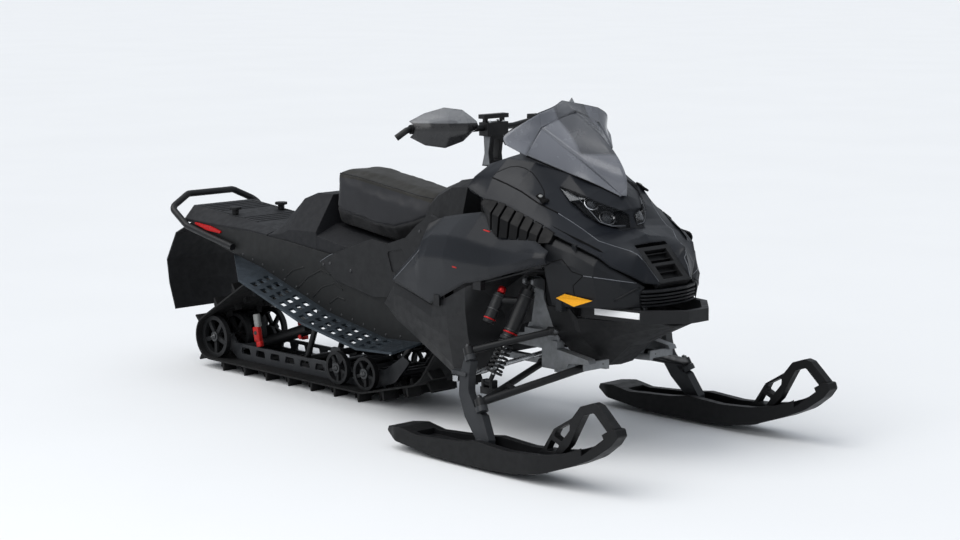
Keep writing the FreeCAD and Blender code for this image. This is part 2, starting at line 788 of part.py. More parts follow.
def make_side_panels():
    sections = right_side([
        (165, [(346, 546), (349, 550), (350, 554), (349, 558), (346, 562)]),
        (240, [(352, 530), (356, 560), (358, 590), (356, 610), (348, 626)]),
        (318, [(358, 510), (366, 560), (372, 620), (365, 665), (342, 697)]),
        (345, [(360, 503), (370, 570), (382, 650), (362, 715), (326, 775)]),
        (390, [(362, 491), (374, 580), (390, 668), (356, 742), (290, 802)]),
        (500, [(374, 543), (385, 600), (400, 672), (370, 752), (293, 822)]),
        (600, [(386, 590), (393, 625), (400, 668), (376, 748), (298, 838)]),
        (745, [(396, 622), (399, 640), (402, 667), (380, 732), (308, 815)]),
        (870, [(394, 660), (398, 675), (402, 690), (385, 728), (324, 781)]),
        (960, [(382, 688), (388, 703), (395, 718), (383, 736), (346, 753)]),
        (1000, [(368, 699), (372, 708), (376, 720), (370, 733), (358, 742)])])
    panel = node("side_panel_right", skin("side_panel_right", sections, wall))
    node("side_panel_left", mirrored("side_panel_left", panel))


def make_lower_panels():
    sections = right_side([
        (112, [(337, 450), (342, 454), (344, 458), (342, 462), (338, 466)]),
        (165, [(330, 400), (340, 430), (344, 470), (344, 500), (340, 536)]),
        (240, [(325, 360), (340, 400), (350, 450), (350, 490), (345, 522)]),
        (392, [(320, 277), (340, 330), (358, 400), (360, 440), (354, 483)]),
        (489, [(318, 224), (340, 270), (362, 380), (370, 460), (362, 528)]),
        (590, [(290, 255), (335, 300), (360, 400), (372, 490), (373, 575)]),
        (640, [(222, 400), (222, 420), (222, 460), (280, 530), (372, 588)]),
        (760, [(222, 452), (222, 500), (222, 570), (223, 632), (380, 618)]),
        (930, [(222, 470), (222, 530), (222, 600), (224, 656), (376, 668)])])
    shell = skin("lower_panel_shell", sections, wall)
    tabs = [block("lower_panel_tab_rear", V(420, -372, 490), V(450, -350, 530)),
            block("lower_panel_tab_front", V(650, -388, 575), V(690, -366, 640))]
    tabbed = joined("lower_panel_tabbed", [shell] + tabs)
    panel = node("lower_panel_right", cut("lower_panel_right", tabbed, NODES["side_panel_right"]))
    node("lower_panel_left", mirrored("lower_panel_left", panel))


LAMP = [V(862, -163, 936), V(925, -152, 921), V(995, -104, 884), V(1050, -54, 858), V(1052, -14, 838),
        V(1056, -16, 792),
        V(1052, -52, 792), V(1010, -110, 811), V(972, -152, 846), V(930, -168, 888)]


LAMP_MIDDLE = V(998, -112, 841)
LAMP_GAP = 0.015


def lamp_solid(grow, front, back):
    """A lamp's body: its outline, enlarged by a share, carried straight through along the lamp's aim."""
    middle = LAMP_MIDDLE
    rim = [middle + (point - middle) * (1 + grow) for point in LAMP]
    aim = V(0.72, -0.32, 0.61)
    aim.normalize()
    count = len(rim)
    faces = []
    for i in range(count):
        here = rim[i]
        following = rim[(i + 1) % count]
        faces.append(triangle_face(middle + aim * front, following + aim * front, here + aim * front))
        faces.append(triangle_face(middle + aim * back, here + aim * back, following + aim * back))
        faces.append(triangle_face(here + aim * front, following + aim * front, here + aim * back))
        faces.append(triangle_face(following + aim * front, following + aim * back, here + aim * back))
    solid = Part.Solid(Part.Shell(faces))
    if solid.Volume < 0:
        solid.reverse()
    return solid


def lamp_pair(grow, proud, depth):
    right = lamp_solid(grow, proud, depth)
    return right, right.mirror(V(0, 0, 0), V(0, 1, 0))


# Hood outlines from the middle outwards: two points of the deck, the lamp's upper and lower
# edge, the band's top crease, the band's foot and its return.
HOOD = [
    (545, [(0, 1000), (110, 1002), (192, 1001), (200, 1000), (278, 960), (315, 925), (300, 908)]),
    (640, [(0, 1040), (110, 1042), (198, 1029), (206, 1026), (280, 961), (322, 890), (306, 878)]),
    (760, [(0, 1010), (110, 1018), (178, 1017), (186, 1016), (270, 938), (318, 874), (302, 864)]),
    (860, [(0, 975), (60, 978), (114, 975), (160, 938), (258, 899), (307, 833), (291, 825)]),
    (960, [(0, 930), (60, 929), (128, 903), (157, 858), (222, 832), (300, 793), (285, 786)]),
    (1010, [(0, 902), (22, 902), (90, 877), (110, 811), (205, 803), (283, 772), (269, 764)]),
    (1044, [(0, 862), (18, 858), (59, 860), (65, 796), (188, 784), (273, 759), (259, 751)]),
    (1064, [(0, 796), (18, 792), (52, 790), (56, 789), (178, 779), (268, 752), (254, 744)]),
    (1120, [(0, 778), (30, 770), (72, 765), (76, 764), (145, 754), (245, 726), (232, 718)]),
    (1157, [(0, 734), (40, 734), (75, 734), (79, 734), (133, 742), (215, 690), (204, 684)]),
    (1197, [(0, 694), (40, 694), (74, 694), (78, 694), (118, 728), (165, 660), (156, 655)]),
    (1228, [(0, 663), (40, 663), (74, 663), (78, 663), (100, 682), (120, 630), (112, 628)]),
    (1259, [(0, 632), (30, 632), (66, 632), (70, 632), (80, 633), (84, 626), (78, 622)]),
]


def make_hood():
    shell = skin("hood_shell", across(HOOD), wall)
    grille_room = plate("hood_grille_room", "XZ_Plane",
                        [[(1150, 760), (1285, 636), (1246, 594), (1114, 722)]], "2 * sizes.grille_half_width")
    lamp_rooms = []
    for i, solid in enumerate(lamp_pair(LAMP_GAP, 60, -38)):
        lamp_rooms.append(shape_object(f"hood_lamp_room_{i}", solid))
    return node("hood", cut("hood", shell, grouped("hood_rooms", [grille_room] + lamp_rooms)))


make_side_panels()
make_lower_panels()
make_hood()


def smooth_row(points, steps):
    """The row with steps spans to each of its own, bent smoothly through its points."""
    row = []
    for i in range(len(points) - 1):
        before = points[max(i - 1, 0)]
        start = points[i]
        end = points[i + 1]
        after = points[min(i + 2, len(points) - 1)]
        for j in range(steps):
            t = j / steps
            row.append(start * (1.5 * t ** 3 - 2.5 * t ** 2 + 1) + end * (2 * t ** 2 - 1.5 * t ** 3 + 0.5 * t) +
                       before * (t ** 2 - 0.5 * t ** 3 - 0.5 * t) + after * (0.5 * t ** 3 - 0.5 * t ** 2))
    return row + [points[-1]]


def rows_between(first, last, count, bulge):
    """Rows from the first up to the last, bowed outwards halfway by a share of their distance."""
    rows = []
    for i in range(count):
        share = i / count
        bow = V(0.6, -0.5, 0.6) * (bulge * 4 * share * (1 - share))
        rows.append([a + (b - a) * share + bow * (b - a).Length for a, b in zip(first, last)])
    return rows


def zipped(first, second):
    """Triangles between two rows of point numbers of any lengths."""
    triangles = []
    i = 0
    j = 0
    while i < len(first) - 1 or j < len(second) - 1:
        if j == len(second) - 1 or (i < len(first) - 1 and i * (len(second) - 1) <= j * (len(first) - 1)):
            triangles.append((first[i], first[i + 1], second[j]))
            i += 1
        else:
            triangles.append((first[i], second[j + 1], second[j]))
            j += 1
    return triangles


def make_windshield():
    """A tinted shield: a bowed middle between two creases, side facets and swept rear corners."""
    steps = 3
    middle = smooth_row([V(1029, 0, 903), V(1024, 0, 975), V(978, 0, 1045), V(890, 0, 1118), V(775, 0, 1186)],
                        steps)
    crease = smooth_row([V(1016, -12, 905), V(949, -45, 963), V(882, -78, 1021), V(815, -112, 1079),
                         V(747, -145, 1137)], steps)
    base = smooth_row([V(1010, -20, 903), V(935, -66, 943), V(849, -116, 980), V(772, -181, 1022),
                       V(746, -216, 1041)], steps)
    columns = rows_between(middle, crease, 3, 0.03) + rows_between(crease, base, 2, 0.02) + [base]
    rim = [V(706, 0, 1220), V(738, -75, 1204), V(742, -148, 1188), V(728, -205, 1160), V(676, -256, 1111),
           V(690, -263, 1080)]
    points = [point for column in columns for point in column] + rim
    length = len(middle)
    numbers = [list(range(i * length, (i + 1) * length)) for i in range(len(columns))]
    triangles = strips(numbers)
    last_row = [column[-1] for column in numbers]
    triangles += zipped(list(range(len(points) - len(rim), len(points))), last_row)
    other = {}
    for i in range(len(points)):
        if abs(points[i].y) < 0.01:
            other[i] = i
        else:
            other[i] = len(points)
            points.append(V(points[i].x, -points[i].y, points[i].z))
    triangles = [(a, c, b) for a, b, c in triangles]
    mirrored_triangles = [(other[a], other[c], other[b]) for a, b, c in triangles]
    solid = faceted_shell(points, triangles + mirrored_triangles, size("shield_wall"))
    return node("windshield", cut("windshield", shape_object("windshield_whole", solid), NODES["hood"]))


def make_headlamps():
    solid = lamp_solid(0, 6, -30)
    return both_sides("headlamps", shape_object("headlamp_right", solid))


def make_nose_grille():
    """The insert in the nose: a sloping frame with slats in two tiers."""
    full_width = "2 * (sizes.grille_half_width - sizes.seam_gap)"
    top = V(1152, 0, 739)
    down = V(110, 0, -110)
    sunk = V(-0.7, 0, -0.7)

    def corner(share, sink):
        place = top + down * share + sunk * sink
        return place.x, place.z

    frame = plate("nose_grille_frame", "XZ_Plane",
                  [[corner(0, 0), corner(1, 0), (1238, 607), (1128, 717)]], full_width)
    tiers = []
    for i, (start, end, width) in enumerate(((0.10, 0.46, "112"), (0.54, 0.90, "100"))):
        outline = [corner(start, -8), corner(end, -8), corner(end, 24), corner(start, 24)]
        tiers.append(plate(f"nose_grille_room_{i}", "XZ_Plane", [outline], width))
    carved = cut("nose_grille_carved", frame, grouped("nose_grille_rooms", tiers))
    slats = []
    for i in range(5):
        x, z = corner(0.16 + i * 0.17, 0)
        outline = [(x - 4, z - 6), (x - 4, z - 10), (x - 26, z - 16), (x - 26, z - 12)]
        slats.append(plate(f"nose_slat_{i}", "XZ_Plane", [outline], full_width))
    return node("nose_grille", joined("nose_grille", [carved] + slats))


def make_nose_cowl():
    """Lower bodywork: side skins under the hood's bands and a slatted front."""
    sections = right_side([
        (940, [(282, 540), (300, 600), (326, 700), (314, 762), (294, 784)]),
        (1040, [(268, 541), (284, 600), (296, 690), (284, 730), (266, 747)]),
        (1120, [(234, 543), (249, 600), (262, 655), (256, 692), (238, 713)]),
        (1190, [(184, 545), (196, 590), (204, 626), (192, 642), (168, 654)]),
        (1228, [(140, 546), (146, 570), (148, 592), (140, 606), (120, 618)])])
    side = skin("cowl_side", sections, wall)
    bow = [(1206, -150), (1240, -125), (1262, -60), (1266, 0), (1262, 60), (1240, 125), (1206, 150),
           (1190, 150), (1222, 112), (1240, 52), (1243, 0),
           (1240, -52), (1222, -112), (1190, -150)]
    slats = []
    for i in range(4):
        z = 551 + 12 * i
        slats.append(plate(f"cowl_slat_{i}", "XY_Plane", [bow], "6", V(-2 * abs(i - 3), 0, z)))
    slats.append(plate("cowl_slat_top", "XY_Plane", [bow], "10", V(-2, 0, 601.7)))
    for i, y in enumerate((-132, -46, 46, 132)):
        slats.append(block(f"cowl_post_{i}", V(1202 if abs(y) > 100 else 1226, y - 8, 549),
                           V(1220 if abs(y) > 100 else 1240, y + 8, 602)))
    tabs = [block("cowl_tab_top", V(1030, -274, 722), V(1050, -262, 760)),
            block("cowl_tab_foot", V(960, -284, 523), V(990, -254, 560))]
    around = grouped("cowl_neighbours", [NODES["hood"], NODES["belly_pan"]])
    side = cut("cowl_side_seated", joined("cowl_side_tabbed", [side] + tabs), around)
    sides = grouped("cowl_sides", [side, mirrored("cowl_side_left", side)])
    return node("nose_cowl", joined("nose_cowl", [sides] + slats))


def make_belly_pan():
    def bottom(points):
        full = across([(0, points)])[0][1]
        return full[::-1]
    outlines = [
        (905, [(0, 290), (90, 298), (158, 360), (236, 440), (272, 532)]),
        (1000, [(0, 301), (62, 306), (140, 376), (222, 448), (258, 532)]),
        (1008, [(0, 308), (62, 313), (140, 380), (206, 440), (226, 494)]),
        (1100, [(0, 384), (60, 390), (130, 430), (172, 470), (190, 494)]),
        (1200, [(0, 432), (56, 437), (108, 460), (136, 482), (152, 494)]),
        (1290, [(0, 474), (44, 476), (66, 481), (84, 488), (98, 494)])]
    sections = [(x, bottom(points)) for x, points in outlines]
    return node("belly_pan", skin("belly_pan", sections, wall))


def make_front_bumper():
    depth = size("bumper_wall")
    outer = [(1012, -212), (1257, -168), (1370, -50), (1370, 50), (1257, 168), (1012, 212)]
    inner = [(1012, 212 - depth), (1257 - depth * 0.5, 168 - depth), (1370 - depth, 50 - depth * 0.4),
             (1370 - depth, -50 + depth * 0.4),
             (1257 - depth * 0.5, -168 + depth), (1012, -212 + depth)]
    bar = plate("front_bumper_bar", "XY_Plane", [outer + inner], "sizes.bumper_height", V(0, 0, 520))
    return node("front_bumper", bar)


def make_bumper_strips():
    thick = size("strip_thickness")
    a = V(1070, -201.6 - 0.2, 0)
    b = V(1252, -168.9 - 0.2, 0)
    out = V(b.y - a.y, a.x - b.x, 0)
    out.normalize()
    corners = [a, b, b + out * thick, a + out * thick]
    strip = plate("bumper_strip_right", "XY_Plane", [[(p.x, p.y) for p in corners]], "22", V(0, 0, 524))
    return both_sides("bumper_strips", strip)


# Vent moulding: x, band's foot, bend and lower edge as (distance out, height).
VENT = [
    (640, (318, 894), (338, 876), (318, 836)),
    (700, (318, 887), (352, 850), (352, 790)),
    (747, (316, 880), (354, 838), (362, 768)),
    (831, (308, 850), (340, 808), (348, 764)),
    (913, (302, 819), (328, 786), (338, 758)),
    (965, (297, 796), (308, 776), (322, 764)),
]
VENT_SLOTS = [705, 747, 789, 831, 873, 915]


def vent_outline(x, deep, proud):
    """The moulding's section at x: its outer face, moved out by proud, over a body that is deep."""
    for (x0, *first), (x1, *second) in zip(VENT, VENT[1:]):
        if x0 <= x <= x1:
            share = (x - x0) / (x1 - x0)
            foot, bend, edge = [(a[0] + (b[0] - a[0]) * share, a[1] + (b[1] - a[1]) * share)
                                for a, b in zip(first, second)]
            break
    return [(-foot[0] - proud, foot[1] + proud), (-bend[0] - proud, bend[1] + proud / 2),
            (-edge[0] - proud, edge[1] - proud), (-edge[0] + deep, edge[1] - proud),
            (-foot[0] + deep, foot[1] + proud)]


def make_side_vents():
    """A bent moulding between the hood's band and the side panel, crossed by six swept slots."""
    body = loft("vent_body", [(row[0], vent_outline(row[0], 30, 0)) for row in VENT])
    slots = []
    for i, x in enumerate(VENT_SLOTS):
        slots.append(loft(f"vent_slot_{i}", [(x, vent_outline(x, 12, 8)), (x + 9, vent_outline(x + 9, 12, 8))]))
    slotted = cut("vent_slotted", body, grouped("vent_slots", slots))
    around = grouped("vent_neighbours", [NODES["hood"], NODES["side_panel_right"], NODES["nose_cowl"]])
    return both_sides("side_vents", cut("side_vent_right", slotted, around))


def deck_height(x, out):
    """Height of the hood's outer face at x and a distance out from the middle plane."""
    for (x0, first), (x1, second) in zip(HOOD, HOOD[1:]):
        if x0 <= x <= x1:
            share = (x - x0) / (x1 - x0)
            return (1 - share) * height_on(first, out) + share * height_on(second, out)
    raise ValueError(f"no hood at {x}")


def height_on(outline, out):
    for (y0, z0), (y1, z1) in zip(outline, outline[1:]):
        if y0 <= out <= y1:
            return z0 + (z1 - z0) * (out - y0) / (y1 - y0)
    raise ValueError(f"no hood at {out} out")


def make_gauge_pod():
    """The display's housing, seated on the hood's deck."""
    sections = []
    for x, half, top in ((570, 80, 1070), (620, 84, 1110), (640, 74, 1102), (660, 60, 1090)):
        low = deck_height(x, half) + seam
        sections.append((x, [(-half, low), (-half, top), (half, top), (half, low)]))
    return node("gauge_pod", loft("gauge_pod", sections))


def make_side_markers():
    corners = [V(975, -292, 572), V(1013, -291, 589), V(1110, -254, 572), V(1044, -275, 546)]
    solid = faceted_shell(corners, [(0, 2, 1), (0, 3, 2)], -6)
    marker = cut("side_marker_right", shape_object("side_marker_raw", solid), NODES["nose_cowl"])
    return both_sides("side_markers", marker)


make_windshield()
make_headlamps()
make_nose_grille()
make_belly_pan()
make_nose_cowl()
make_front_bumper()
make_bumper_strips()
make_side_vents()
make_gauge_pod()
make_side_markers()


# Front suspension.
TOWER_EYE = V(822, -264, 606)
LOWER_FRONT_PIVOT = V(1016, -134, 326)
LOWER_REAR_PIVOT = V(770, -160, 298)
UPPER_FRONT_PIVOT = V(922, -262, 444)
UPPER_REAR_PIVOT = V(668, -246, 378)
SHOCK_FOOT = V(778, -430, 262)


def along_rod(start, end, share):
    return start + (end - start) * share


def make_front_frame():
    """Cast towers and feet on both sides of a carrier, tied by cross members."""
    tower = side_plate("frame_tower", [
        [(784, 440), (904, 440), (852, 545), (846, 600, 8), (838, 624, 6), (806, 624, 6), (798, 600, 8),
         (804, 545)],
    ], "8", 230)
    ears = []
    for i, x in enumerate((TOWER_EYE.x - 21.3, TOWER_EYE.x + 21.3)):
        ears.append(plate(f"frame_ear_{i}", "YZ_Plane",
                          [[(-226, 574), (-246, 582), (-284, 602, 4), (-284, 622, 8), (-244, 622, 8),
                            (-226, 616)]],
                          "12", V(x, 0, 0)))
    shelf = block("frame_shelf", V(784, -264, 420), V(UPPER_FRONT_PIVOT.x - 17.3, -216, 442))
    carrier = side_plate("frame_carrier", [
        [(650, 366), (822, 364), (822, 296), (903, 296), (903, 500), (780, 500), (740, 412), (650, 396)],
    ], "10.7", 211.35)
    arm_seat = block("frame_arm_seat", V(650.4, -230.7, 366), V(686, -210, 392))
    foot = side_plate("frame_foot", [
        [(880, 400), (903, 400), (903, 372), (1056, 352, 6), (1064, 338), (962, 326), (950, 306),
         (896, 300), (880, 330)],
    ], "36", 205)
    front_out = -LOWER_FRONT_PIVOT.y - 15 - seam
    rear_out = -LOWER_REAR_PIVOT.y - 15 - seam
    beam_plan = plate("frame_beam_plan", "XY_Plane", [
        [(748, -rear_out), (LOWER_REAR_PIVOT.x + 16, -rear_out), (LOWER_FRONT_PIVOT.x - 16, -front_out),
         (1044, -front_out), (1044, 15 - front_out), (LOWER_FRONT_PIVOT.x - 16, 15 - front_out),
         (748, 15 - rear_out)]], "200", V(0, 0, 320))
    beam_side = side_plate("frame_beam_side", [[(748, 288), (1044, 306), (1044, 330), (900, 311),
                                                (748, 311)]], "400", 120)
    beam = doc.addObject("Part::Common", "frame_beam")
    beam.Base = beam_plan
    beam.Tool = beam_side
    bracket = block("frame_bracket", V(1033, -223, 312), V(1044, 14 - front_out, 340))
    strut = block("frame_strut", V(884, -216, 288), V(903, -100, 311))
    half = size("tunnel_half_width")
    side_beam = block("frame_side_beam", V(206, -half - seam - 9, 366), V(670, -half - seam, 396))
    cradle = block("frame_cradle", V(380, -140, 286), V(772, -112, 310 - seam))
    side = joined("frame_side", [side_beam, cradle, tower, shelf, carrier, arm_seat, foot, beam, bracket,
                                 strut] + ears)
    other = mirrored("frame_side_left", side)
    ties = [block("frame_tie_rear", V(748, -141, 290), V(772, 141, 309)),
            block("frame_tie_top", V(868, -214, 420), V(900, 214, 444)),
            block("frame_tie_foot", V(884, -120, 290), V(903, 120, 308))]
    return node("front_frame", joined("front_frame", [side, other] + ties))


def boss(name, middle, direction):
    item = doc.addObject("Part::Cylinder", name)
    item.setExpression("Radius", "sizes.joint_boss_radius")
    item.setExpression("Height", "sizes.joint_boss_height")
    axis = V(direction)
    axis.normalize()
    item.Placement = FreeCAD.Placement(middle - axis * (size("joint_boss_height") / 2),
                                       FreeCAD.Rotation(V(0, 0, 1), axis))
    return item


def make_arms():
    upper = joined("upper_arm_right", [
        boss("upper_arm_boss", UPPER_JOINT, KING_PIN),
        rod("upper_arm_front", UPPER_JOINT, UPPER_FRONT_PIVOT, "arm_tube_radius"),
        rod("upper_arm_rear", UPPER_JOINT, UPPER_REAR_PIVOT, "arm_tube_radius"),
        disc("upper_arm_front_bush", UPPER_FRONT_PIVOT, V(1, 0, 0.05), 15, 34),
        disc("upper_arm_rear_bush", UPPER_REAR_PIVOT, V(1, 0, 0.05), 15, 34)])
    both_sides("upper_arms", upper)
    lower = joined("lower_arm_right", [
        boss("lower_arm_boss", LOWER_JOINT, KING_PIN),
        rod("lower_arm_front", LOWER_JOINT, LOWER_FRONT_PIVOT, "lower_arm_radius"),
        rod("lower_arm_rear", LOWER_JOINT, LOWER_REAR_PIVOT, "arm_tube_radius"),
        rod("lower_arm_brace", along_rod(LOWER_JOINT, LOWER_FRONT_PIVOT, 0.3),
            along_rod(LOWER_JOINT, LOWER_REAR_PIVOT, 0.42), "arm_tube_radius"),
        block("lower_arm_yoke", SHOCK_FOOT + V(-33, -14, -38), SHOCK_FOOT + V(44, 14, -14)),
        block("lower_arm_yoke_front", SHOCK_FOOT + V(15.3, -14, -24), SHOCK_FOOT + V(27, 14, 12)),
        block("lower_arm_yoke_rear", SHOCK_FOOT + V(-27, -14, -24), SHOCK_FOOT + V(-15.3, 14, 12)),
        disc("lower_arm_front_bush", LOWER_FRONT_PIVOT, V(1, 0, 0.05), 15, 30),
        disc("lower_arm_rear_bush", LOWER_REAR_PIVOT, V(1, 0, 0.05), 15, 30)])
    both_sides("lower_arms", lower)


def faceted_coil(radius, wire, rise, turns):
    """A spring of flat-sided wire that climbs along +Z."""
    steps = 12
    sides = 6
    rings = []
    for i in range(turns * steps + 1):
        angle = 2 * math.pi * i / steps
        out = V(math.cos(angle), math.sin(angle), 0)
        middle = out * radius + V(0, 0, rise * i / (turns * steps))
        rings.append([middle + out * (wire * math.cos(2 * math.pi * j / sides)) +
                      V(0, 0, wire * math.sin(2 * math.pi * j / sides)) for j in range(sides)])
    faces = []
    for ring, following in zip(rings, rings[1:]):
        for j in range(sides):
            k = (j + 1) % sides
            faces.append(triangle_face(ring[j], following[j], ring[k]))
            faces.append(triangle_face(ring[k], following[j], following[k]))
    for end, order in ((rings[0], 1), (rings[-1], -1)):
        faces.append(Part.Face(Part.makePolygon((end + end[:1])[::order])))
    solid = Part.Solid(Part.Shell(faces))
    if solid.Volume < 0:
        solid.reverse()
    return solid


def make_front_shocks():
    """Damper with a coil round its lower half and a reservoir beside its top."""
    axis = TOWER_EYE - SHOCK_FOOT
    length = axis.Length
    axis.normalize()

    def at(distance):
        return SHOCK_FOOT + axis * distance

    turns = 7
    start = 46
    rise = 118
    inset = size("coil_wire") + seam
    coil_rise = rise - 2 * inset
    coil = faceted_coil(size("coil_radius"), size("coil_wire"), coil_rise, turns)
    coil.Placement = FreeCAD.Placement(at(start + inset), FreeCAD.Rotation(V(0, 0, 1), axis))
    pieces = [Part.makeCylinder(size("shock_shaft_radius"), 200, at(10), axis),
              Part.makeCylinder(size("coil_radius") + size("coil_wire"), 8, at(start - 8), axis),
              Part.makeCylinder(size("coil_radius") + size("coil_wire"), 10, at(start + rise), axis),
              Part.makeCylinder(size("shock_radius"), length - 30 - (start + rise + 10),
                                at(start + rise + 10), axis),
              Part.makeCylinder(10, 40, at(length - 40), axis),
              Part.makeCylinder(13, 30, at(0) - V(15, 0, 0), V(1, 0, 0)),
              Part.makeCylinder(13, 30, at(length) - V(15, 0, 0), V(1, 0, 0))]
    beside = V(-76, -56, 0)
    top = at(length - 46) + beside
    base = top - axis * size("reservoir_length")
    pieces.append(Part.makeCylinder(size("reservoir_radius"), size("reservoir_length"), base, axis))
    pieces.append(Part.makeCylinder(11, 26, top - axis * 2, axis))
    bridge_start = at(length - 70)
    bridge = (base + axis * (size("reservoir_length") - 24)) - bridge_start
    pieces.append(Part.makeCylinder(12, bridge.Length, bridge_start, bridge))
    body = pieces[0].multiFuse(pieces[1:])
    return both_sides("front_shocks", shape_object("front_shock_right", Part.makeCompound([body, coil])))


# Spindles and skis. Each side is made from the same outlines.
SKI_PIVOT = V(858, 0, 80)


def make_spindle():
    """Forged upright: bosses under each ball joint housing, a bowed blade and a steering arm."""
    gap = size("joint_boss_height") / 2 + size("joint_gap")
    boss_height = 20
    top_boss = disc("spindle_top_boss", UPPER_JOINT - KING_PIN * (gap + boss_height / 2), KING_PIN, 19,
                    boss_height)
    ledge = disc("spindle_ledge", LOWER_JOINT - KING_PIN * (gap + boss_height / 2), KING_PIN, 22, boss_height)
    blade = side_plate("spindle_blade", [
        [(745, 366, 6), (772, 352, 6), (770, 300, 40), (776, 246, 40), (822, 190, 10), (858, 176, 8),
         (905, 96, 6), (905, 70, 6), (842, 70, 6), (838, 92, 10),
         (772, 158, 30), (730, 230, 40), (724, 300, 40), (736, 352, 10)],
    ], "sizes.spindle_width", 0)
    lean = math.degrees(math.atan2(LOWER_JOINT.y - UPPER_JOINT.y, UPPER_JOINT.z - LOWER_JOINT.z))
    foot = V(0, -stance, SKI_PIVOT.z)
    leaning = FreeCAD.Placement(foot, FreeCAD.Rotation(V(1, 0, 0), lean))
    blade.Placement = leaning * FreeCAD.Placement(V(0, 0, -SKI_PIVOT.z), FreeCAD.Rotation())
    arm = plate("spindle_arm", "XY_Plane", [[(674, -522, 14), (710, -520), (760, -526), (760, -500),
                                             (710, -486), (674, -484, 14)]], "14", V(0, 0, 302))
    pivot = disc("spindle_pivot", SKI_PIVOT - V(0, stance, 0), V(0, 1, 0), 14, size("ski_channel") - 2 * seam)
    return joined("spindle_right", [top_boss, ledge, blade, arm, pivot])


def make_ski():
    """Ski: side profile and plan outline in common, with a channel along its top."""
    profile = side_plate("ski_profile", [
        [(412, 62, 4), (476, 34, 60), (640, 16, 200), (760, 12), (960, 12, 300), (1085, 20, 300),
         (1215, 42, 300), (1320, 78, 300), (1424, 122, 200),
         (1500, 176, 60), (1528.05, 210, 8), (1519, 232, 6), (1500, 232, 6), (1440, 196, 60),
         (1380, 152, 200), (1300, 122, 300), (1200, 104, 300),
         (1060, 94, 200), (900, 102, 60), (800, 88, 60), (590, 74, 60), (500, 88, 30), (425, 80, 6)],
    ], "200", stance)
    half = size("ski_width") / 2
    plan = plate("ski_plan", "XY_Plane", [
        [(400, -half + 22, 20), (470, -half, 80), (1180, -half, 300), (1440, -34, 60), (1540, -20, 10),
         (1540, 20, 10), (1440, 34, 60), (1180, half, 300), (470, half, 80),
         (400, half - 22, 20)],
    ], "600", V(0, -stance, 0))
    body = doc.addObject("Part::Common", "ski_solid")
    body.Base = profile
    body.Tool = plan
    channel = side_plate("ski_channel_cut", [
        [(560, 58), (800, 56), (1060, 62, 200), (1200, 74, 300), (1300, 92, 300), (1385, 130, 100),
         (1470, 196), (1440, 260), (560, 260)],
    ], "sizes.ski_channel", stance)
    channelled = cut("ski_channelled", body, channel)
    return channelled


def make_wear_bar():
    return side_plate("wear_bar_right", [
        [(560, 0, 6), (1040, 0, 60), (1120, 12, 60), (1180, 28), (1176, 34), (1120, 24.5), (1085, 19),
         (960, 11.7), (760, 11.7), (640, 15.7), (560, 24)],
    ], "sizes.wear_bar_width", stance)


def make_ski_loop():
    """Front handle: two limbs, a rear web with triangular windows and an open middle."""
    outline = [(1150, 92, 6), (1176, 118, 10), (1226, 190, 14), (1312, 240, 14), (1350, 284, 16),
               (1408, 304, 14), (1436, 298, 14), (1508, 236, 8), (1516, 214, 6), (1500, 206),
               (1478, 214, 10), (1412, 272, 12), (1364, 256, 12), (1296, 142, 12), (1246, 96, 10),
               (1240, 86), (1150, 76)]
    windows = [[(1188, 110, 5), (1232, 112, 5), (1252, 138, 5), (1214, 152, 5)],
               [(1226, 166, 5), (1262, 152, 5), (1300, 196, 5), (1302, 222, 5), (1240, 190, 5)]]
    return side_plate("ski_loop_right", [outline] + windows, "sizes.loop_width", stance)


def make_ski_sides():
    spindle = make_spindle()
    ski = make_ski()
    bar = make_wear_bar()
    loop = make_ski_loop()
    ski = cut("ski_right", ski, grouped("ski_fittings", [spindle, loop, bar]))
    for label, item in (("spindle", spindle), ("ski", ski), ("ski_loop", loop), ("wear_bar", bar)):
        node(label + "_right", item)
        node(label + "_left", mirrored(label + "_left", item))


# Tie rods: two rods and a centre link that shift sideways together.
ROD_INNER = V(811, -110, 352)
ROD_OUTER = V(691, -503, 279.4)


def make_tie_rods():
    right = [rod("tie_rod_bar", ROD_INNER, ROD_OUTER, "tie_rod_radius"),
             disc("tie_rod_eye", ROD_OUTER, V(0, 0, 1), size("rod_end_radius"), 20),
             disc("tie_rod_stud", ROD_OUTER + V(0, 0, 10.25), V(0, 0, 1), 7, 2.5)]
    side = joined("tie_rod_side", right)
    link = rod("tie_rod_link", V(811, -112, 352), V(811, 112, 352), "tie_rod_radius")
    tongue = block("tie_rod_tongue", V(700, -14, 332), V(811, 14, 346))
    return node("tie_rods", joined("tie_rods", [side, mirrored("tie_rod_side_left", side), link, tongue]))


# Handlebar and what turns with it.
BAR_MIDDLE = V(345, 0, 1106)
GRIP_IN = V(338, -250, 1124)
GRIP_OUT = V(318, -385, 1120)


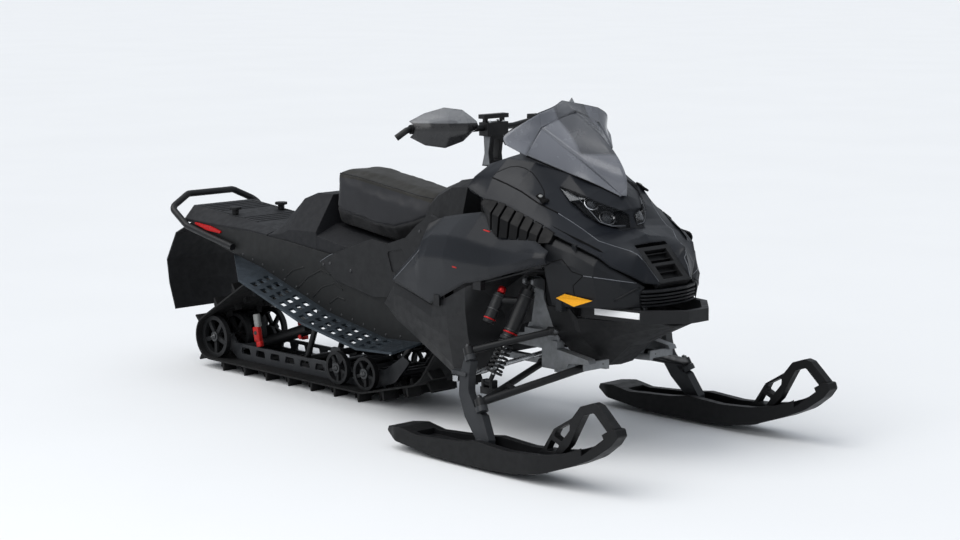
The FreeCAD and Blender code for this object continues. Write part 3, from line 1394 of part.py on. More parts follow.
def make_handlebar():
    points = [V(292, 430, 1090), V(316, 398, 1119), V(338, 250, 1126), V(345, 100, 1106),
              V(345, -100, 1106), V(338, -250, 1126), V(316, -398, 1119), V(292, -430, 1090)]
    tube = bent_tube("handlebar_tube", points, size("bar_radius"), 24)
    clamp = block("handlebar_clamp", BAR_MIDDLE + V(-24, -52, -30), BAR_MIDDLE + V(24, 52, 20))
    riser = plate("handlebar_riser", "XZ_Plane", [[(322, 1080), (368, 1080), (356, 1010), (362, 962),
                                                   (312, 962), (326, 1010)]], "60")
    riser_gap = plate("handlebar_riser_gap", "XZ_Plane",
                      [[(300, 1062), (390, 1062), (390, 984), (300, 984)]], "28")
    pad = block("handlebar_bar_pad", V(329, -62, 1140), V(361, 62, 1156))
    posts = []
    for i, y in enumerate((-42, 42)):
        posts.append(block(f"handlebar_pad_post_{i}", V(337, y - 6, 1120), V(353, y + 6, 1142)))
    riser_open = cut("handlebar_riser_open", riser, riser_gap)
    return node("handlebar", joined("handlebar", [tube, clamp, riser_open, pad] + posts))


def make_steering_post():
    foot = disc("steering_foot", COLUMN_FOOT + COLUMN_DOWN * 8, COLUMN_DOWN, 17, 20)
    back = V(-COLUMN_DOWN.z, 0, COLUMN_DOWN.x) * -1
    pitman_end = COLUMN_FOOT + back * 82
    arm = rod("steering_pitman", COLUMN_FOOT, pitman_end, "bar_radius")
    post = rod("steering_shaft", COLUMN_TOP, COLUMN_FOOT, "column_radius")
    raw = joined("steering_post_raw", [post, foot, arm])
    return node("steering_post", cut("steering_post", raw, NODES["handlebar"]))


def make_grips():
    right = cut("grip_right", rod("grip_tube", GRIP_IN, GRIP_OUT, "grip_radius"), NODES["handlebar"])
    return both_sides("grips", right)


def make_hand_guards():
    """Wrap-round shells in front of the grips, with a rim at the middle band."""
    rows = [(-402, 352, 1096, 1128, 1150), (-370, 398, 1068, 1132, 1180), (-320, 448, 1058, 1136, 1200),
            (-270, 486, 1082, 1140, 1190), (-236, 500, 1116, 1138, 1162)]
    points = []
    for y, x, low, middle, high in rows:
        points += [V(x - 14, y, low), V(x + 8, y, (low + middle) / 2), V(x + 16, y, middle),
                   V(x + 6, y, (middle + high) / 2), V(x - 18, y, high)]
    ids = [[5 * i + j for j in range(5)] for i in range(len(rows))]
    shell = faceted_shell(points, strips(ids), size("guard_wall"))
    mount = rod("hand_guard_mount", V(507, -250, 1137), V(349, -222, 1116), "tie_rod_radius")
    shell_item = shape_object("hand_guard_shell", shell)
    right = cut("hand_guard_right", joined("hand_guard_raw", [shell_item, mount]), NODES["handlebar"])
    return both_sides("hand_guards", right)


def make_controls():
    housing = block("control_housing", V(318, -242, 1102), V(366, -196, 1142))
    lever = rod("control_lever", V(372, -225, 1118), V(396, -372, 1112), "tie_rod_radius")
    neck = rod("control_neck", V(350, -222, 1118), V(374, -226, 1118), "tie_rod_radius")
    right = joined("control_raw", [housing, lever, neck])
    cleared = cut("control_right", right, grouped("control_tools",
                                                  [NODES["handlebar"], NODES["hand_guards"], NODES["grips"]]))
    return both_sides("controls", cleared)


# Rear suspension.
def bar_shape(start, end, radius):
    return Part.makeCylinder(radius, (end - start).Length, start, end - start)


FRONT_ARM = (V(-150, 0, 116), V(40, 0, 330))
REAR_ARM = (V(-700, 0, 98), V(-560, 0, 418))


def middle_of(arm):
    return (arm[0] + arm[1]) * 0.5


def make_suspension_arms():
    """Front and rear arm: a leg beside each rail, cross tubes at both ends and a damper tube between."""
    reach = size("tunnel_half_width") - size("tunnel_wall") - seam
    foot_reach = size("rail_offset") - size("rail_thickness") / 2 - seam
    leg_out = foot_reach - size("cross_tube_radius")
    arms = []
    for foot, head in (FRONT_ARM, REAR_ARM):
        middle = middle_of((foot, head))
        pieces = [bar_shape(head - V(0, reach, 0), head + V(0, reach, 0), size("cross_tube_radius")),
                  bar_shape(foot - V(0, foot_reach, 0), foot + V(0, foot_reach, 0),
                            size("cross_tube_radius")),
                  bar_shape(middle - V(0, leg_out, 0), middle + V(0, leg_out, 0), size("shock_pin_radius"))]
        for side in (-1, 1):
            out = V(0, side * leg_out, 0)
            pieces.append(bar_shape(foot + out, head + out, size("axle_radius")))
        arms.append(pieces[0].multiFuse(pieces[1:]))
    return node("suspension_arms", shape_object("suspension_arms", Part.makeCompound(arms)))


def make_rear_shocks():
    """Two dampers in the middle plane, each from a rail tie to the damper tube of an arm."""
    dampers = []
    for tie, arm in ((RAIL_TIES[0], REAR_ARM), (RAIL_TIES[2], FRONT_ARM)):
        head = middle_of(arm)
        axis = head - tie
        length = axis.Length
        axis.normalize()
        pieces = [Part.makeCylinder(size("shock_shaft_radius"), length, tie, axis),
                  Part.makeCylinder(size("shock_radius"), length * 0.55, tie + axis * 60, axis),
                  Part.makeCylinder(22, 34, tie - V(0, 17, 0), V(0, 1, 0)),
                  Part.makeCylinder(20, 34, head - V(0, 17, 0), V(0, 1, 0))]
        damper = pieces[0].multiFuse(pieces[1:])
        damper = damper.cut(bar_shape(tie - V(0, 60, 0), tie + V(0, 60, 0), size("axle_radius") + seam))
        damper = damper.cut(bar_shape(head - V(0, 60, 0), head + V(0, 60, 0),
                                      size("shock_pin_radius") + seam))
        dampers.append(damper)
    return node("rear_shocks", shape_object("rear_shocks", Part.makeCompound(dampers)))


make_front_frame()
make_arms()
make_front_shocks()
make_ski_sides()
make_tie_rods()
make_handlebar()
make_steering_post()
make_grips()
make_hand_guards()
make_controls()
make_suspension_arms()
make_rear_shocks()


# Every object has to be sound before anything is written.
doc.recompute()
for item in doc.Objects:
    if "Invalid" in item.State or "Error" in item.State:
        raise RuntimeError(f"{item.Label} failed: {item.State}")
for label, item in NODES.items():
    if item.Shape.isNull() or not item.Shape.isValid() or not item.Shape.Solids:
        raise RuntimeError(f"{label} has no valid solid")
os.makedirs("parts", exist_ok=True)
for label, item in NODES.items():
    item.Shape.exportStep(f"parts/{label}.step")
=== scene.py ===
import math

import bmesh
import bpy
from mathutils import Matrix, Vector
from mathutils.bvhtree import BVHTree


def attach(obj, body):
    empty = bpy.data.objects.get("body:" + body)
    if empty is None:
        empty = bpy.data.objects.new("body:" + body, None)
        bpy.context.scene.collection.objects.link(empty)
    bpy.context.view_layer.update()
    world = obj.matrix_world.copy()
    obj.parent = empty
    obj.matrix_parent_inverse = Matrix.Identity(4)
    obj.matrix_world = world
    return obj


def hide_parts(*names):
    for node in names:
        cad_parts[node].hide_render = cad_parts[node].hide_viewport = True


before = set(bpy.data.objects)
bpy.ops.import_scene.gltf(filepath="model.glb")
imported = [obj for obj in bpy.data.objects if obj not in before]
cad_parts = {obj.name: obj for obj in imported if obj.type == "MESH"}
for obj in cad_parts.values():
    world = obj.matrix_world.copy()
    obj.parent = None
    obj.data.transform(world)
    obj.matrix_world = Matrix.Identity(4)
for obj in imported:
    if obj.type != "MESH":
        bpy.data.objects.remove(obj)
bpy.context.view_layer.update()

# Snowmobile: finishes, padded seat and fine detail. Metres, in the same frame as the solids:
# +X towards the ski tips, +Y to the rider's left, +Z up.

# Camera, solved from the photograph.
CAMERA_PLACE = Vector((6.397, -5.599, 1.817))
CAMERA_YAW = math.radians(47.61)
CAMERA_DIP = math.radians(8.6)
CAMERA_ROLL = math.radians(-0.46)
LENS_MM = 83.46
SENSOR_MM = 36
VIEW_LIMIT = 100
PHOTO_WIDTH = 960
PHOTO_MIDDLE = (480, 270)
FOCUS_PIXELS = PHOTO_WIDTH * LENS_MM / SENSOR_MM


def camera_axes():
    """The camera's right, up and forward directions."""
    forward = Vector((-math.sin(CAMERA_YAW) * math.cos(CAMERA_DIP),
                      math.cos(CAMERA_YAW) * math.cos(CAMERA_DIP),
                      -math.sin(CAMERA_DIP)))
    right = Vector((math.cos(CAMERA_YAW), math.sin(CAMERA_YAW), 0))
    up = right.cross(forward)
    return (right * math.cos(CAMERA_ROLL) + up * math.sin(CAMERA_ROLL),
            up * math.cos(CAMERA_ROLL) - right * math.sin(CAMERA_ROLL), forward)


RIGHT, UP, FORWARD = camera_axes()


def given(item, **settings):
    """The item with its settings made."""
    for key, value in settings.items():
        setattr(item, key, value)
    return item


def linked(name, data):
    item = bpy.data.objects.new(name, data)
    bpy.context.collection.objects.link(item)
    return item


def make_camera():
    data = bpy.data.cameras.new("camera")
    camera = linked("camera", given(data, lens=LENS_MM, sensor_width=SENSOR_MM, clip_end=VIEW_LIMIT))
    turn = Matrix((RIGHT, UP, -FORWARD)).transposed()
    camera.matrix_world = Matrix.Translation(CAMERA_PLACE) @ turn.to_4x4()
    bpy.context.scene.camera = camera


# Materials. Every texture is placed by object coordinates, so it sits still on the piece.
MATERIALS = {}


def shade(colour, share, lift=0.0):
    """The colour made darker or paler by a share, and lifted by an even grey."""
    return tuple(channel * share + lift for channel in colour)


class Nodes:
    """The node tree of a material or world, with its main node."""

    def __init__(self, owner, main, coordinates):
        owner.use_nodes = True
        self.tree = owner.node_tree
        self.main = self.tree.nodes[main]
        self.place = self.add("TexCoord", coordinates)

    def feed(self, node, **sockets):
        """Give inputs, by their names, a value or another node's output."""
        for name, value in sockets.items():
            self.plug(value, node.inputs[name.replace("_", " ")])

    def plug(self, value, socket):
        if isinstance(value, bpy.types.NodeSocket):
            self.tree.links.new(value, socket)
        else:
            socket.default_value = value

    def set(self, **sockets):
        self.feed(self.main, **sockets)

    def add(self, kind, output, settings=None, **sockets):
        """A new node with its inputs fed; returns the named output."""
        node = given(self.tree.nodes.new("ShaderNode" + kind), **(settings or {}))
        self.feed(node, **sockets)
        return node.outputs[output]

    def pair(self, kind, operation, first, second):
        """The outcome of an operation on two outputs."""
        node = given(self.tree.nodes.new("ShaderNode" + kind), operation=operation)
        self.plug(first, node.inputs[0])
        self.plug(second, node.inputs[1])
        return node.outputs["Value"]

    def ramp(self, source, low, high, from_low=0.35, from_high=0.65):
        return self.add("MapRange", "Result", {"clamp": True}, Value=source, From_Min=from_low,
                        From_Max=from_high, To_Min=low, To_Max=high)

    def along(self, axis, start, end, low=0, high=1):
        """Runs from low to high while the coordinate goes from start to end."""
        return self.ramp(self.add("SeparateXYZ", axis, Vector=self.place), low, high, start, end)


class Finish(Nodes):
    """A material under construction, kept in MATERIALS by its name."""

    def __init__(self, name):
        self.material = bpy.data.materials.new(name)
        MATERIALS[name] = self.material
        super().__init__(self.material, "Principled BSDF", "Object")

    def noise(self, scale, detail=3, roughness=0.5, stretch=(1, 1, 1)):
        place = self.add("Mapping", "Vector", Scale=stretch, Vector=self.place)
        return self.add("TexNoise", "Fac", Scale=scale, Detail=detail, Roughness=roughness, Vector=place)

    def cells(self, scale, feature="F1"):
        return self.add("TexVoronoi", "Distance", {"feature": feature}, Scale=scale, Vector=self.place)

    def mix(self, factor, first, second):
        """A colour between two; each is a colour or a socket."""
        mix = given(self.tree.nodes.new("ShaderNodeMix"), data_type="RGBA")
        self.feed(mix, Factor=factor)
        for name, value in (("A", first), ("B", second)):
            socket = [item for item in mix.inputs if item.name == name and item.type == "RGBA"][0]
            self.plug((*value, 1) if isinstance(value, tuple) else value, socket)
        return [item for item in mix.outputs if item.type == "RGBA"][0]

    def product(self, first, second):
        return self.pair("Math", "MULTIPLY", first, second)

    def rounded(self, radius):
        """The normal as if corners were rounded to the radius."""
        return self.add("Bevel", "Normal", {"samples": 4}, Radius=radius)

    def edges(self, radius):
        """Where the surface turns sharply within a radius: 1 on an edge, 0 on a flat."""
        flat = self.add("NewGeometry", "Normal")
        turned = self.pair("VectorMath", "DOT_PRODUCT", self.rounded(radius), flat)
        return self.ramp(turned, 1, 0, 0.9, 0.995)

    def relief(self, heights, soft_edge=0.003):
        """Bumps stacked on rounded corners; each height is (socket, depth in metres)."""
        normal = self.rounded(soft_edge)
        for height, depth in heights:
            normal = self.add("Bump", "Normal", Strength=1, Distance=depth, Height=height, Normal=normal)
        self.set(Normal=normal)

    def colour(self, factor, first, second):
        self.set(Base_Color=self.mix(factor, first, second))

    def gloss(self, source, low, high):
        self.set(Roughness=self.ramp(source, low, high))


def plastic(name, colour, roughness=(0.45, 0.6), grain=900, depth=0.00012, worn=1.6, shine=0.28):
    """Moulded plastic: fine grain, faint mottling, paler rubbed edges."""
    finish = Finish(name)
    body = finish.mix(finish.ramp(finish.noise(5, 4), 0, 1), colour, shade(colour, 1.12))
    scuffs = finish.ramp(finish.noise(26, 5, 0.7), 0, 0.65, 0.4, 0.7)
    rubbed = finish.product(finish.edges(0.004), scuffs)
    finish.colour(rubbed, body, shade(colour, worn, 0.008))
    finish.gloss(finish.noise(38, 5), *roughness)
    finish.relief([(finish.noise(grain, 2), depth)], 0.003)
    finish.set(Specular_IOR_Level=shine)


def paint(name, colour, roughness=(0.3, 0.42), coat=0.25, edge=0.006):
    """Satin body colour in soft patches, with a faint flake and rounded corners."""
    finish = Finish(name)
    body = finish.mix(finish.ramp(finish.noise(2.6, 3), 0, 1), colour, shade(colour, 0.78))
    flecks = finish.ramp(finish.noise(1900, 1), 0, 0.5, 0.55, 0.72)
    finish.colour(flecks, body, shade(colour, 1.45, 0.004))
    finish.gloss(finish.noise(11, 5, 0.6), *roughness)
    finish.relief([(finish.noise(1200, 1), 0.00003)], edge)
    finish.set(Coat_Weight=coat, Coat_Roughness=0.12, Specular_IOR_Level=0.18)


def metal(name, colour, roughness=(0.3, 0.45), grain=220, stretch=(1, 1, 1), depth=0.0001, metallic=1.0):
    """Bare or plated metal with fine working marks."""
    finish = Finish(name)
    finish.colour(finish.ramp(finish.noise(18, 5, 0.6), 0, 1), colour, shade(colour, 0.72))
    finish.gloss(finish.noise(60, 4), *roughness)
    finish.relief([(finish.noise(grain, 3, stretch=stretch), depth)], 0.002)
    finish.set(Metallic=metallic)


def coated_metal(name, colour, roughness=(0.36, 0.5)):
    """Powder coat: fine orange peel and paler worn edges."""
    finish = Finish(name)
    patches = finish.ramp(finish.noise(45, 6, 0.7), 0, 0.8, 0.45, 0.7)
    worn = finish.product(finish.edges(0.003), patches)
    body = finish.mix(finish.ramp(finish.noise(9, 3), 0, 1), colour, shade(colour, 1.3))
    finish.colour(worn, body, shade(colour, 2.2, 0.03))
    finish.gloss(finish.noise(30, 4), *roughness)
    finish.relief([(finish.noise(520, 2), 0.00012)], 0.003)
    finish.set(Specular_IOR_Level=0.3)


def rubber(name, colour, roughness=(0.62, 0.8), grain=420):
    """Moulded rubber with dust and scuffs."""
    finish = Finish(name)
    dust = finish.ramp(finish.noise(22, 6, 0.65), 0, 0.7, 0.45, 0.7)
    finish.colour(dust, colour, shade(colour, 1.6, 0.005))
    finish.gloss(finish.noise(34, 4), *roughness)
    finish.relief([(finish.noise(grain, 3), 0.0003), (finish.noise(30, 3), 0.0008)], 0.003)
    finish.set(Specular_IOR_Level=0.28)


def lens(name, colour, roughness=0.08, alpha=1.0, glow=0.0, contrast=0.7, coat=0.5):
    """Clear or coloured moulding with a faint inner prism pattern."""
    finish = Finish(name)
    prisms = finish.cells(160)
    finish.colour(finish.ramp(prisms, 0, 1, 0.1, 0.6), colour, shade(colour, contrast))
    finish.relief([(prisms, 0.0003)], 0.002)
    finish.gloss(finish.noise(20, 3), roughness, roughness * 1.8)
    finish.set(Alpha=alpha, IOR=1.25, Coat_Weight=coat, Coat_Roughness=0.05)
    finish.set(Emission_Color=(*colour, 1), Emission_Strength=glow)


def tinted_shield():
    """Smoked polycarbonate with fine haze, and a painted reflection: a darker patch in the middle."""
    finish = Finish("tinted_shield")
    haze = finish.ramp(finish.noise(3, 2), 0, 1)
    side = finish.mix(haze, (0.165, 0.172, 0.195), (0.14, 0.147, 0.168))
    # Painted reflection: the shield is coloured darker within about 7 cm of its centre line and above about
    # 1.05 m.
    reflection_across = finish.product(finish.along("Y", -0.082, -0.072), finish.along("Y", 0.082, 0.072))
    middle = finish.product(reflection_across, finish.along("Z", 1.04, 1.05))
    finish.colour(middle, side, (0.06, 0.063, 0.072))
    finish.gloss(finish.noise(16, 4), 0.2, 0.3)
    finish.relief([(finish.noise(900, 1), 0.00002)], 0.002)
    finish.set(Alpha=0.86, IOR=1.58, Coat_Weight=0.35, Coat_Roughness=0.08)


def hand_guard_shell():
    """Dark lower shell, black middle band and a smoky upper half."""
    finish = Finish("hand_guard_shell")
    upper = finish.along("Z", 1.145, 1.148)
    band = finish.product(finish.along("Z", 1.117, 1.12), finish.along("Z", 1.147, 1.144))
    mottling = finish.ramp(finish.noise(12, 4), 0, 1)
    lower = finish.mix(mottling, (0.014, 0.0145, 0.016), (0.019, 0.0195, 0.021))
    shell = finish.mix(upper, lower, (0.16, 0.165, 0.175))
    finish.colour(band, shell, (0.007, 0.007, 0.008))
    finish.gloss(finish.noise(22, 4), 0.22, 0.34)
    finish.relief([(finish.noise(1000, 1), 0.00004)], 0.012)
    finish.set(Alpha=finish.ramp(upper, 1, 0.72, 0, 1))


def vinyl(name, colour, grain=520, depth=0.00035):
    """Seat cover: pebbled grain with darker valleys and a soft sheen."""
    finish = Finish(name)
    pebbles = finish.cells(grain, "SMOOTH_F1")
    body = finish.mix(finish.ramp(pebbles, 0, 1, 0.2, 0.7), colour, shade(colour, 0.62))
    finish.colour(finish.ramp(finish.noise(6, 4), 0, 0.6), body, shade(colour, 1.15))
    finish.gloss(finish.noise(14, 4), 0.5, 0.66)
    finish.relief([(pebbles, -depth), (finish.noise(1400, 2), 0.00008)], 0.002)
    finish.set(Sheen_Weight=0.06, Sheen_Roughness=0.5, Specular_IOR_Level=0.3)


paint("band_paint", (0.0065, 0.008, 0.0115), (0.34, 0.46), 0.14, 0.015)
paint("panel_paint", (0.0075, 0.0088, 0.0118), (0.3, 0.42), 0.16, 0.02)
paint("cowl_paint", (0.0085, 0.0094, 0.0112), (0.38, 0.5), 0.08, 0.01)
plastic("black_plastic", (0.0065, 0.0067, 0.0074), (0.5, 0.65))
plastic("smooth_plastic", (0.0075, 0.0078, 0.0088), (0.42, 0.56), 1200, 0.00006)
plastic("deck_plastic", (0.0085, 0.009, 0.0108), (0.55, 0.7), 520, 0.0002)
plastic("ski_plastic", (0.004, 0.0042, 0.0048), (0.42, 0.56), 700, 0.00012, 1.9, 0.24)
plastic("wheel_plastic", (0.0095, 0.01, 0.011), (0.5, 0.64), 800)
plastic("vent_plastic", (0.0026, 0.0026, 0.003), (0.4, 0.55), 600, 0.0002, 1.6, 0.16)
plastic("groove_black", (0.002, 0.002, 0.0022), (0.6, 0.75), 900, 0.00004, 1.2, 0.12)
# Pale plastic for the latch buttons and the coupling spacer, and for a painted highlight down the shield's
# rear crease.
plastic("pale_plastic_and_highlight", (0.24, 0.245, 0.24), (0.4, 0.55), 900, 0.00006, 1.1)
# Pale paint for the lamps' light guide and for painted highlights along edges and creases.
paint("edge_light", (0.19, 0.2, 0.22), (0.28, 0.36), 0.1)
hand_guard_shell()
coated_metal("tunnel_metal", (0.0085, 0.009, 0.0092), (0.5, 0.62))
coated_metal("black_metal", (0.0065, 0.0068, 0.0075))
coated_metal("grey_metal", (0.022, 0.0235, 0.026))
metal("board_metal", (0.055, 0.07, 0.085), (0.38, 0.55), 260, (1, 6, 1), 0.00015, 0.85)
metal("cast_metal", (0.26, 0.27, 0.28), (0.42, 0.58), 380, depth=0.00035, metallic=0.75)
metal("steel", (0.5, 0.51, 0.52), (0.2, 0.34), 300, (1, 1, 8))
metal("dark_steel", (0.1, 0.102, 0.105), (0.3, 0.45), 300)
metal("engine_metal", (0.05, 0.05, 0.053), (0.5, 0.65), 240, depth=0.0004, metallic=0.7)
rubber("track_rubber", (0.0058, 0.006, 0.0064))
rubber("flap_rubber", (0.0062, 0.0066, 0.0076), (0.5, 0.66), 700)
rubber("grip_rubber", (0.006, 0.006, 0.0065), (0.6, 0.75), 900)
tinted_shield()
lens("lamp_lens", (0.012, 0.013, 0.015), 0.25, 0.55, coat=0.02)
metal("chrome", (0.62, 0.63, 0.65), (0.08, 0.16), 200, depth=0.00003)
lens("bowl_glass", (0.3, 0.32, 0.35), 0.03, 0.6)
lens("screen_glass", (0.006, 0.007, 0.009), 0.06)
lens("red_lens", (0.5, 0.004, 0.005), 0.2, glow=0.08, coat=0.05)
lens("amber_lens", (0.88, 0.4, 0.02), 0.24, glow=0.08, contrast=0.9, coat=0.15)
lens("white_strip", (0.9, 0.9, 0.9), 0.4, contrast=0.98, coat=0.1)
vinyl("seat_top", (0.0115, 0.0104, 0.0075))
vinyl("seat_side", (0.013, 0.0136, 0.0165), 900, 0.00012)
vinyl("seat_band", (0.0075, 0.0077, 0.0086), 900, 0.00012)
vinyl("seam_thread", (0.006, 0.006, 0.0065), 1500, 0.0001)
metal("red_anodised", (0.5, 0.008, 0.01), (0.22, 0.35), 300, metallic=0.6)
plastic("red_plastic", (0.42, 0.012, 0.01), (0.35, 0.5), 900, 0.00006, 1.1)

# Finishes of the CAD nodes.
NODE_FINISHES = {
    "track_rubber": "track",
    "wheel_plastic": "rear_idlers mid_idlers upper_idlers",
    "steel": "drive_axle wear_bar_right wear_bar_left tie_rods steering_post",
    "grey_metal": "slide_rails spindle_right spindle_left",
    "tunnel_metal": "tunnel",
    "board_metal": "running_boards",
    "black_metal": "rear_bumper upper_arms lower_arms front_shocks handlebar suspension_arms rear_shocks",
    "flap_rubber": "snow_flap",
    "deck_plastic": "tail_housing rear_trunk",
    "red_lens": "tail_lamps",
    "black_plastic": "cargo_anchors console nose_grille belly_pan gauge_pod controls",
    "smooth_plastic": "side_covers lower_panel_right lower_panel_left front_bumper",
    "engine_metal": "engine",
    "panel_paint": "side_panel_right side_panel_left",
    "band_paint": "hood",
    "tinted_shield": "windshield",
    "lamp_lens": "headlamps",
    "cowl_paint": "nose_cowl",
    "white_strip": "bumper_strips",
    "vent_plastic": "side_vents",
    "amber_lens": "side_markers",
    "cast_metal": "front_frame",
    "ski_plastic": "ski_right ski_left ski_loop_right ski_loop_left",
    "grip_rubber": "grips",
    "hand_guard_shell": "hand_guards",
}


def dress_nodes():
    """Each CAD node gets its finish; the seat is left to its padded cover."""
    for finish, names in NODE_FINISHES.items():
        for name in names.split():
            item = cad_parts[name]
            if not item.material_slots:
                item.data.materials.append(MATERIALS[finish])
            for slot in item.material_slots:
                slot.link = "OBJECT"
                slot.material = MATERIALS[finish]


# Places on the CAD surfaces. Rays start at OUTSIDE, beyond the whole machine.
SURFACES = {}
OUTSIDE = 2


def tree_of(mesh):
    return BVHTree.FromPolygons([vertex.co for vertex in mesh.vertices],
                                [polygon.vertices for polygon in mesh.polygons])


def surface(name):
    if name not in SURFACES:
        SURFACES[name] = tree_of(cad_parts[name].data)
    return SURFACES[name]


def photo_ray(pixel):
    """Direction from the camera through a pixel of the photo."""
    ray = FORWARD * FOCUS_PIXELS + RIGHT * (pixel[0] - PHOTO_MIDDLE[0]) - UP * (pixel[1] - PHOTO_MIDDLE[1])
    return ray.normalized()


def met(name, point, way):
    """Where a node is first met, by a pixel's ray, or straight from above, behind or the right side."""
    if way == "photo":
        start, aim = CAMERA_PLACE, photo_ray(point)
    elif way == "above":
        start, aim = (point[0], point[1], OUTSIDE), (0, 0, -1)
    elif way == "behind":
        start, aim = (-OUTSIDE, point[0], point[1]), (1, 0, 0)
    else:
        start, aim = (point[0], -OUTSIDE, point[1]), (0, 1, 0)
    return surface(name).ray_cast(Vector(start), Vector(aim))[:2]


def marks(name, points, way):
    """The places and normals where the points meet a node; points that miss it are left out."""
    hits = [met(name, point, way) for point in points]
    return [hit for hit in hits if hit[0] is not None]


def spaced(points, step):
    """The points with more between them, none further apart than step."""
    dense = []
    for start, end in zip(points, points[1:]):
        first, last = Vector(start), Vector(end)
        count = max(1, math.ceil((last - first).length / step))
        dense += [first.lerp(last, i / count) for i in range(count)]
    return dense + [Vector(points[-1])]


# Pieces.
class Shape:
    """Vertices and faces of one piece, gathered from its parts."""

    def __init__(self):
        self.vertices = []
        self.faces = []

    def add(self, vertices, faces, mirrored=True):
        for side in ((1, -1) if mirrored else (1,)):
            base = len(self.vertices)
            self.vertices += [Vector((v[0], v[1] * side, v[2])) for v in vertices]
            self.faces += [tuple(base + i for i in face) for face in faces]

    def rows(self, rows, closed, mirrored=True):
        """Faces between rows of as many points; closed rows run round, with caps at both ends."""
        width = len(rows[0])
        vertices = [point for row in rows for point in row]
        faces = []
        last = len(vertices) - width
        for i in range(0, last, width):
            for j in range(width if closed else width - 1):
                k = (j + 1) % width
                faces.append((i + j, i + k, i + width + k, i + width + j))
        if closed:
            faces += [tuple(range(width)), tuple(range(last, last + width))]
        self.add(vertices, faces, mirrored)

    def make(self, name, finish, slot="black_plastic", body="chassis", smooth=True):
        """The gathered form as a piece that rides on a body."""
        mesh = bpy.data.meshes.new(name)
        mesh.from_pydata(self.vertices, [], self.faces)
        mesh.validate()
        work = bmesh.new()
        work.from_mesh(mesh)
        bmesh.ops.recalc_face_normals(work, faces=work.faces)
        work.to_mesh(mesh)
        work.free()
        for polygon in mesh.polygons:
            polygon.use_smooth = smooth
        item = linked(name, mesh)
        mesh.materials.append(MATERIALS[finish])
        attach(item, body)
        return item


# A rib's section: its foot sinks by RIB_SUNK, its shoulders stand at RIB_SHOULDER of width and height.
# RIB_STEPS is the spacing of its sections, in pixels for the photo and else in metres.
RIB_SUNK = 0.0012
RIB_SHOULDER = (0.92, 0.7)
RIB_STEPS = {"photo": 3, "above": 0.015, "behind": 0.015}


def ribbon_rows(stations, width, lift):
    """Cross sections of a low rib that lies on a surface along stations of (place, normal)."""
    rows = []
    last = len(stations) - 1
    for i, (place, normal) in enumerate(stations):
        ahead = stations[min(i + 1, last)][0] - stations[max(i - 1, 0)][0]
        side = ahead.cross(normal).normalized() * (width / 2)
        low = normal * RIB_SUNK
        out = side * RIB_SHOULDER[0]
        high = normal * lift * RIB_SHOULDER[1]
        rows.append([place - side - low, place - out + high, place + normal * lift,
                     place + out + high, place + side - low])
    return rows


def trace(shape, node, points, way, width, lift, mirrored=True):
    """A low rib on a node; points are pixels of the photo, (x, y) from above or (y, z) from behind."""
    stations = marks(node, spaced(points, RIB_STEPS[way]), way)
    if len(stations) > 1:
        shape.rows(ribbon_rows(stations, width, lift), True, mirrored)


def ribbon(name, node, points, way, width, lift, finish, slot, mirrored=True):
    shape = Shape()
    trace(shape, node, points, way, width, lift, mirrored)
    shape.make(name, finish, slot)


def turned(shape, place, axis, profile, sides=16, mirrored=True):
    """A turned form: profile is (radius, height along the axis), from foot to tip."""
    axis = Vector(axis).normalized()
    helper = Vector((0, 0, 1)) if abs(axis.z) < 0.9 else Vector((1, 0, 0))
    first = axis.cross(helper).normalized()
    second = axis.cross(first).normalized()
    angles = [2 * math.pi * j / sides for j in range(sides)]
    spokes = [first * math.cos(angle) + second * math.sin(angle) for angle in angles]
    shape.rows([[Vector(place) + axis * height + spoke * radius for spoke in spokes]
                for radius, height in profile], True, mirrored)


# Profiles of heads, the bore of rings and the rounding of bars' ends, as shares of their radius.
BOLT = [(1.45, -0.1), (1.45, 0.22), (1.3, 0.3), (1, 0.3), (1, 0.95), (0.86, 1.1), (0.52, 1.1),
        (0.46, 0.5), (0.02, 0.5)]
SCREW = [(1, -0.1), (1, 0.16), (0.82, 0.4), (0.45, 0.52), (0.38, 0.2), (0.02, 0.2)]
NUT = [(1.5, -0.1), (1.5, 0.2), (1.16, 0.24), (1.16, 1), (1, 1.15), (0.62, 1.15), (0.58, 1.6),
       (0.02, 1.66)]
RING_BORE = 0.9
BAR_SOFT = 0.25


def head(shape, place, axis, radius, profile=BOLT, sides=16):
    turned(shape, place, axis, [(r * radius, h * radius) for r, h in profile], sides)


def ring(shape, place, axis, radius, half, sides=24):
    """A band with a rounded outer face round an axis; half is half its width."""
    angles = [math.pi * i / 6 for i in range(7)]
    outer = [(radius + half * math.sin(angle), -half * math.cos(angle)) for angle in angles]
    inner = radius * RING_BORE
    turned(shape, place, axis, [(inner, -half)] + outer + [(inner, half)], sides)


def bar(shape, start, end, radius, sides=14, mirrored=True):
    """A round bar with softened ends."""
    axis = Vector(end) - Vector(start)
    length = axis.length
    soft = radius * BAR_SOFT
    profile = [(radius - soft, 0), (radius, soft), (radius, length - soft), (radius - soft, length)]
    turned(shape, start, axis, profile, sides, mirrored)


def wire(shape, line, radius, sides=8):
    """Round bars from each point of a line to the next."""
    for start, end in zip(line, line[1:]):
        bar(shape, start, end, radius, sides)


def box(shape, middle, size, turn=None, soft=0.2, mirrored=True):
    """A block with bevelled edges, turned by a matrix."""
    half = [value / 2 for value in size]
    cut = min(half) * soft
    rows = []
    for x, shrink in ((-half[0], cut), (-half[0] + cut, 0), (half[0] - cut, 0), (half[0], cut)):
        y = half[1] - shrink
        z = half[2] - shrink
        outline = [(-y, -z + cut), (-y + cut, -z), (y - cut, -z), (y, -z + cut), (y, z - cut), (y - cut, z),
                   (-y + cut, z), (-y, z - cut)]
        rows.append([Vector((x, a, b)) for a, b in outline])
    if turn is not None:
        rows = [[turn @ point for point in row] for row in rows]
    shape.rows([[Vector(middle) + point for point in row] for row in rows], True, mirrored)


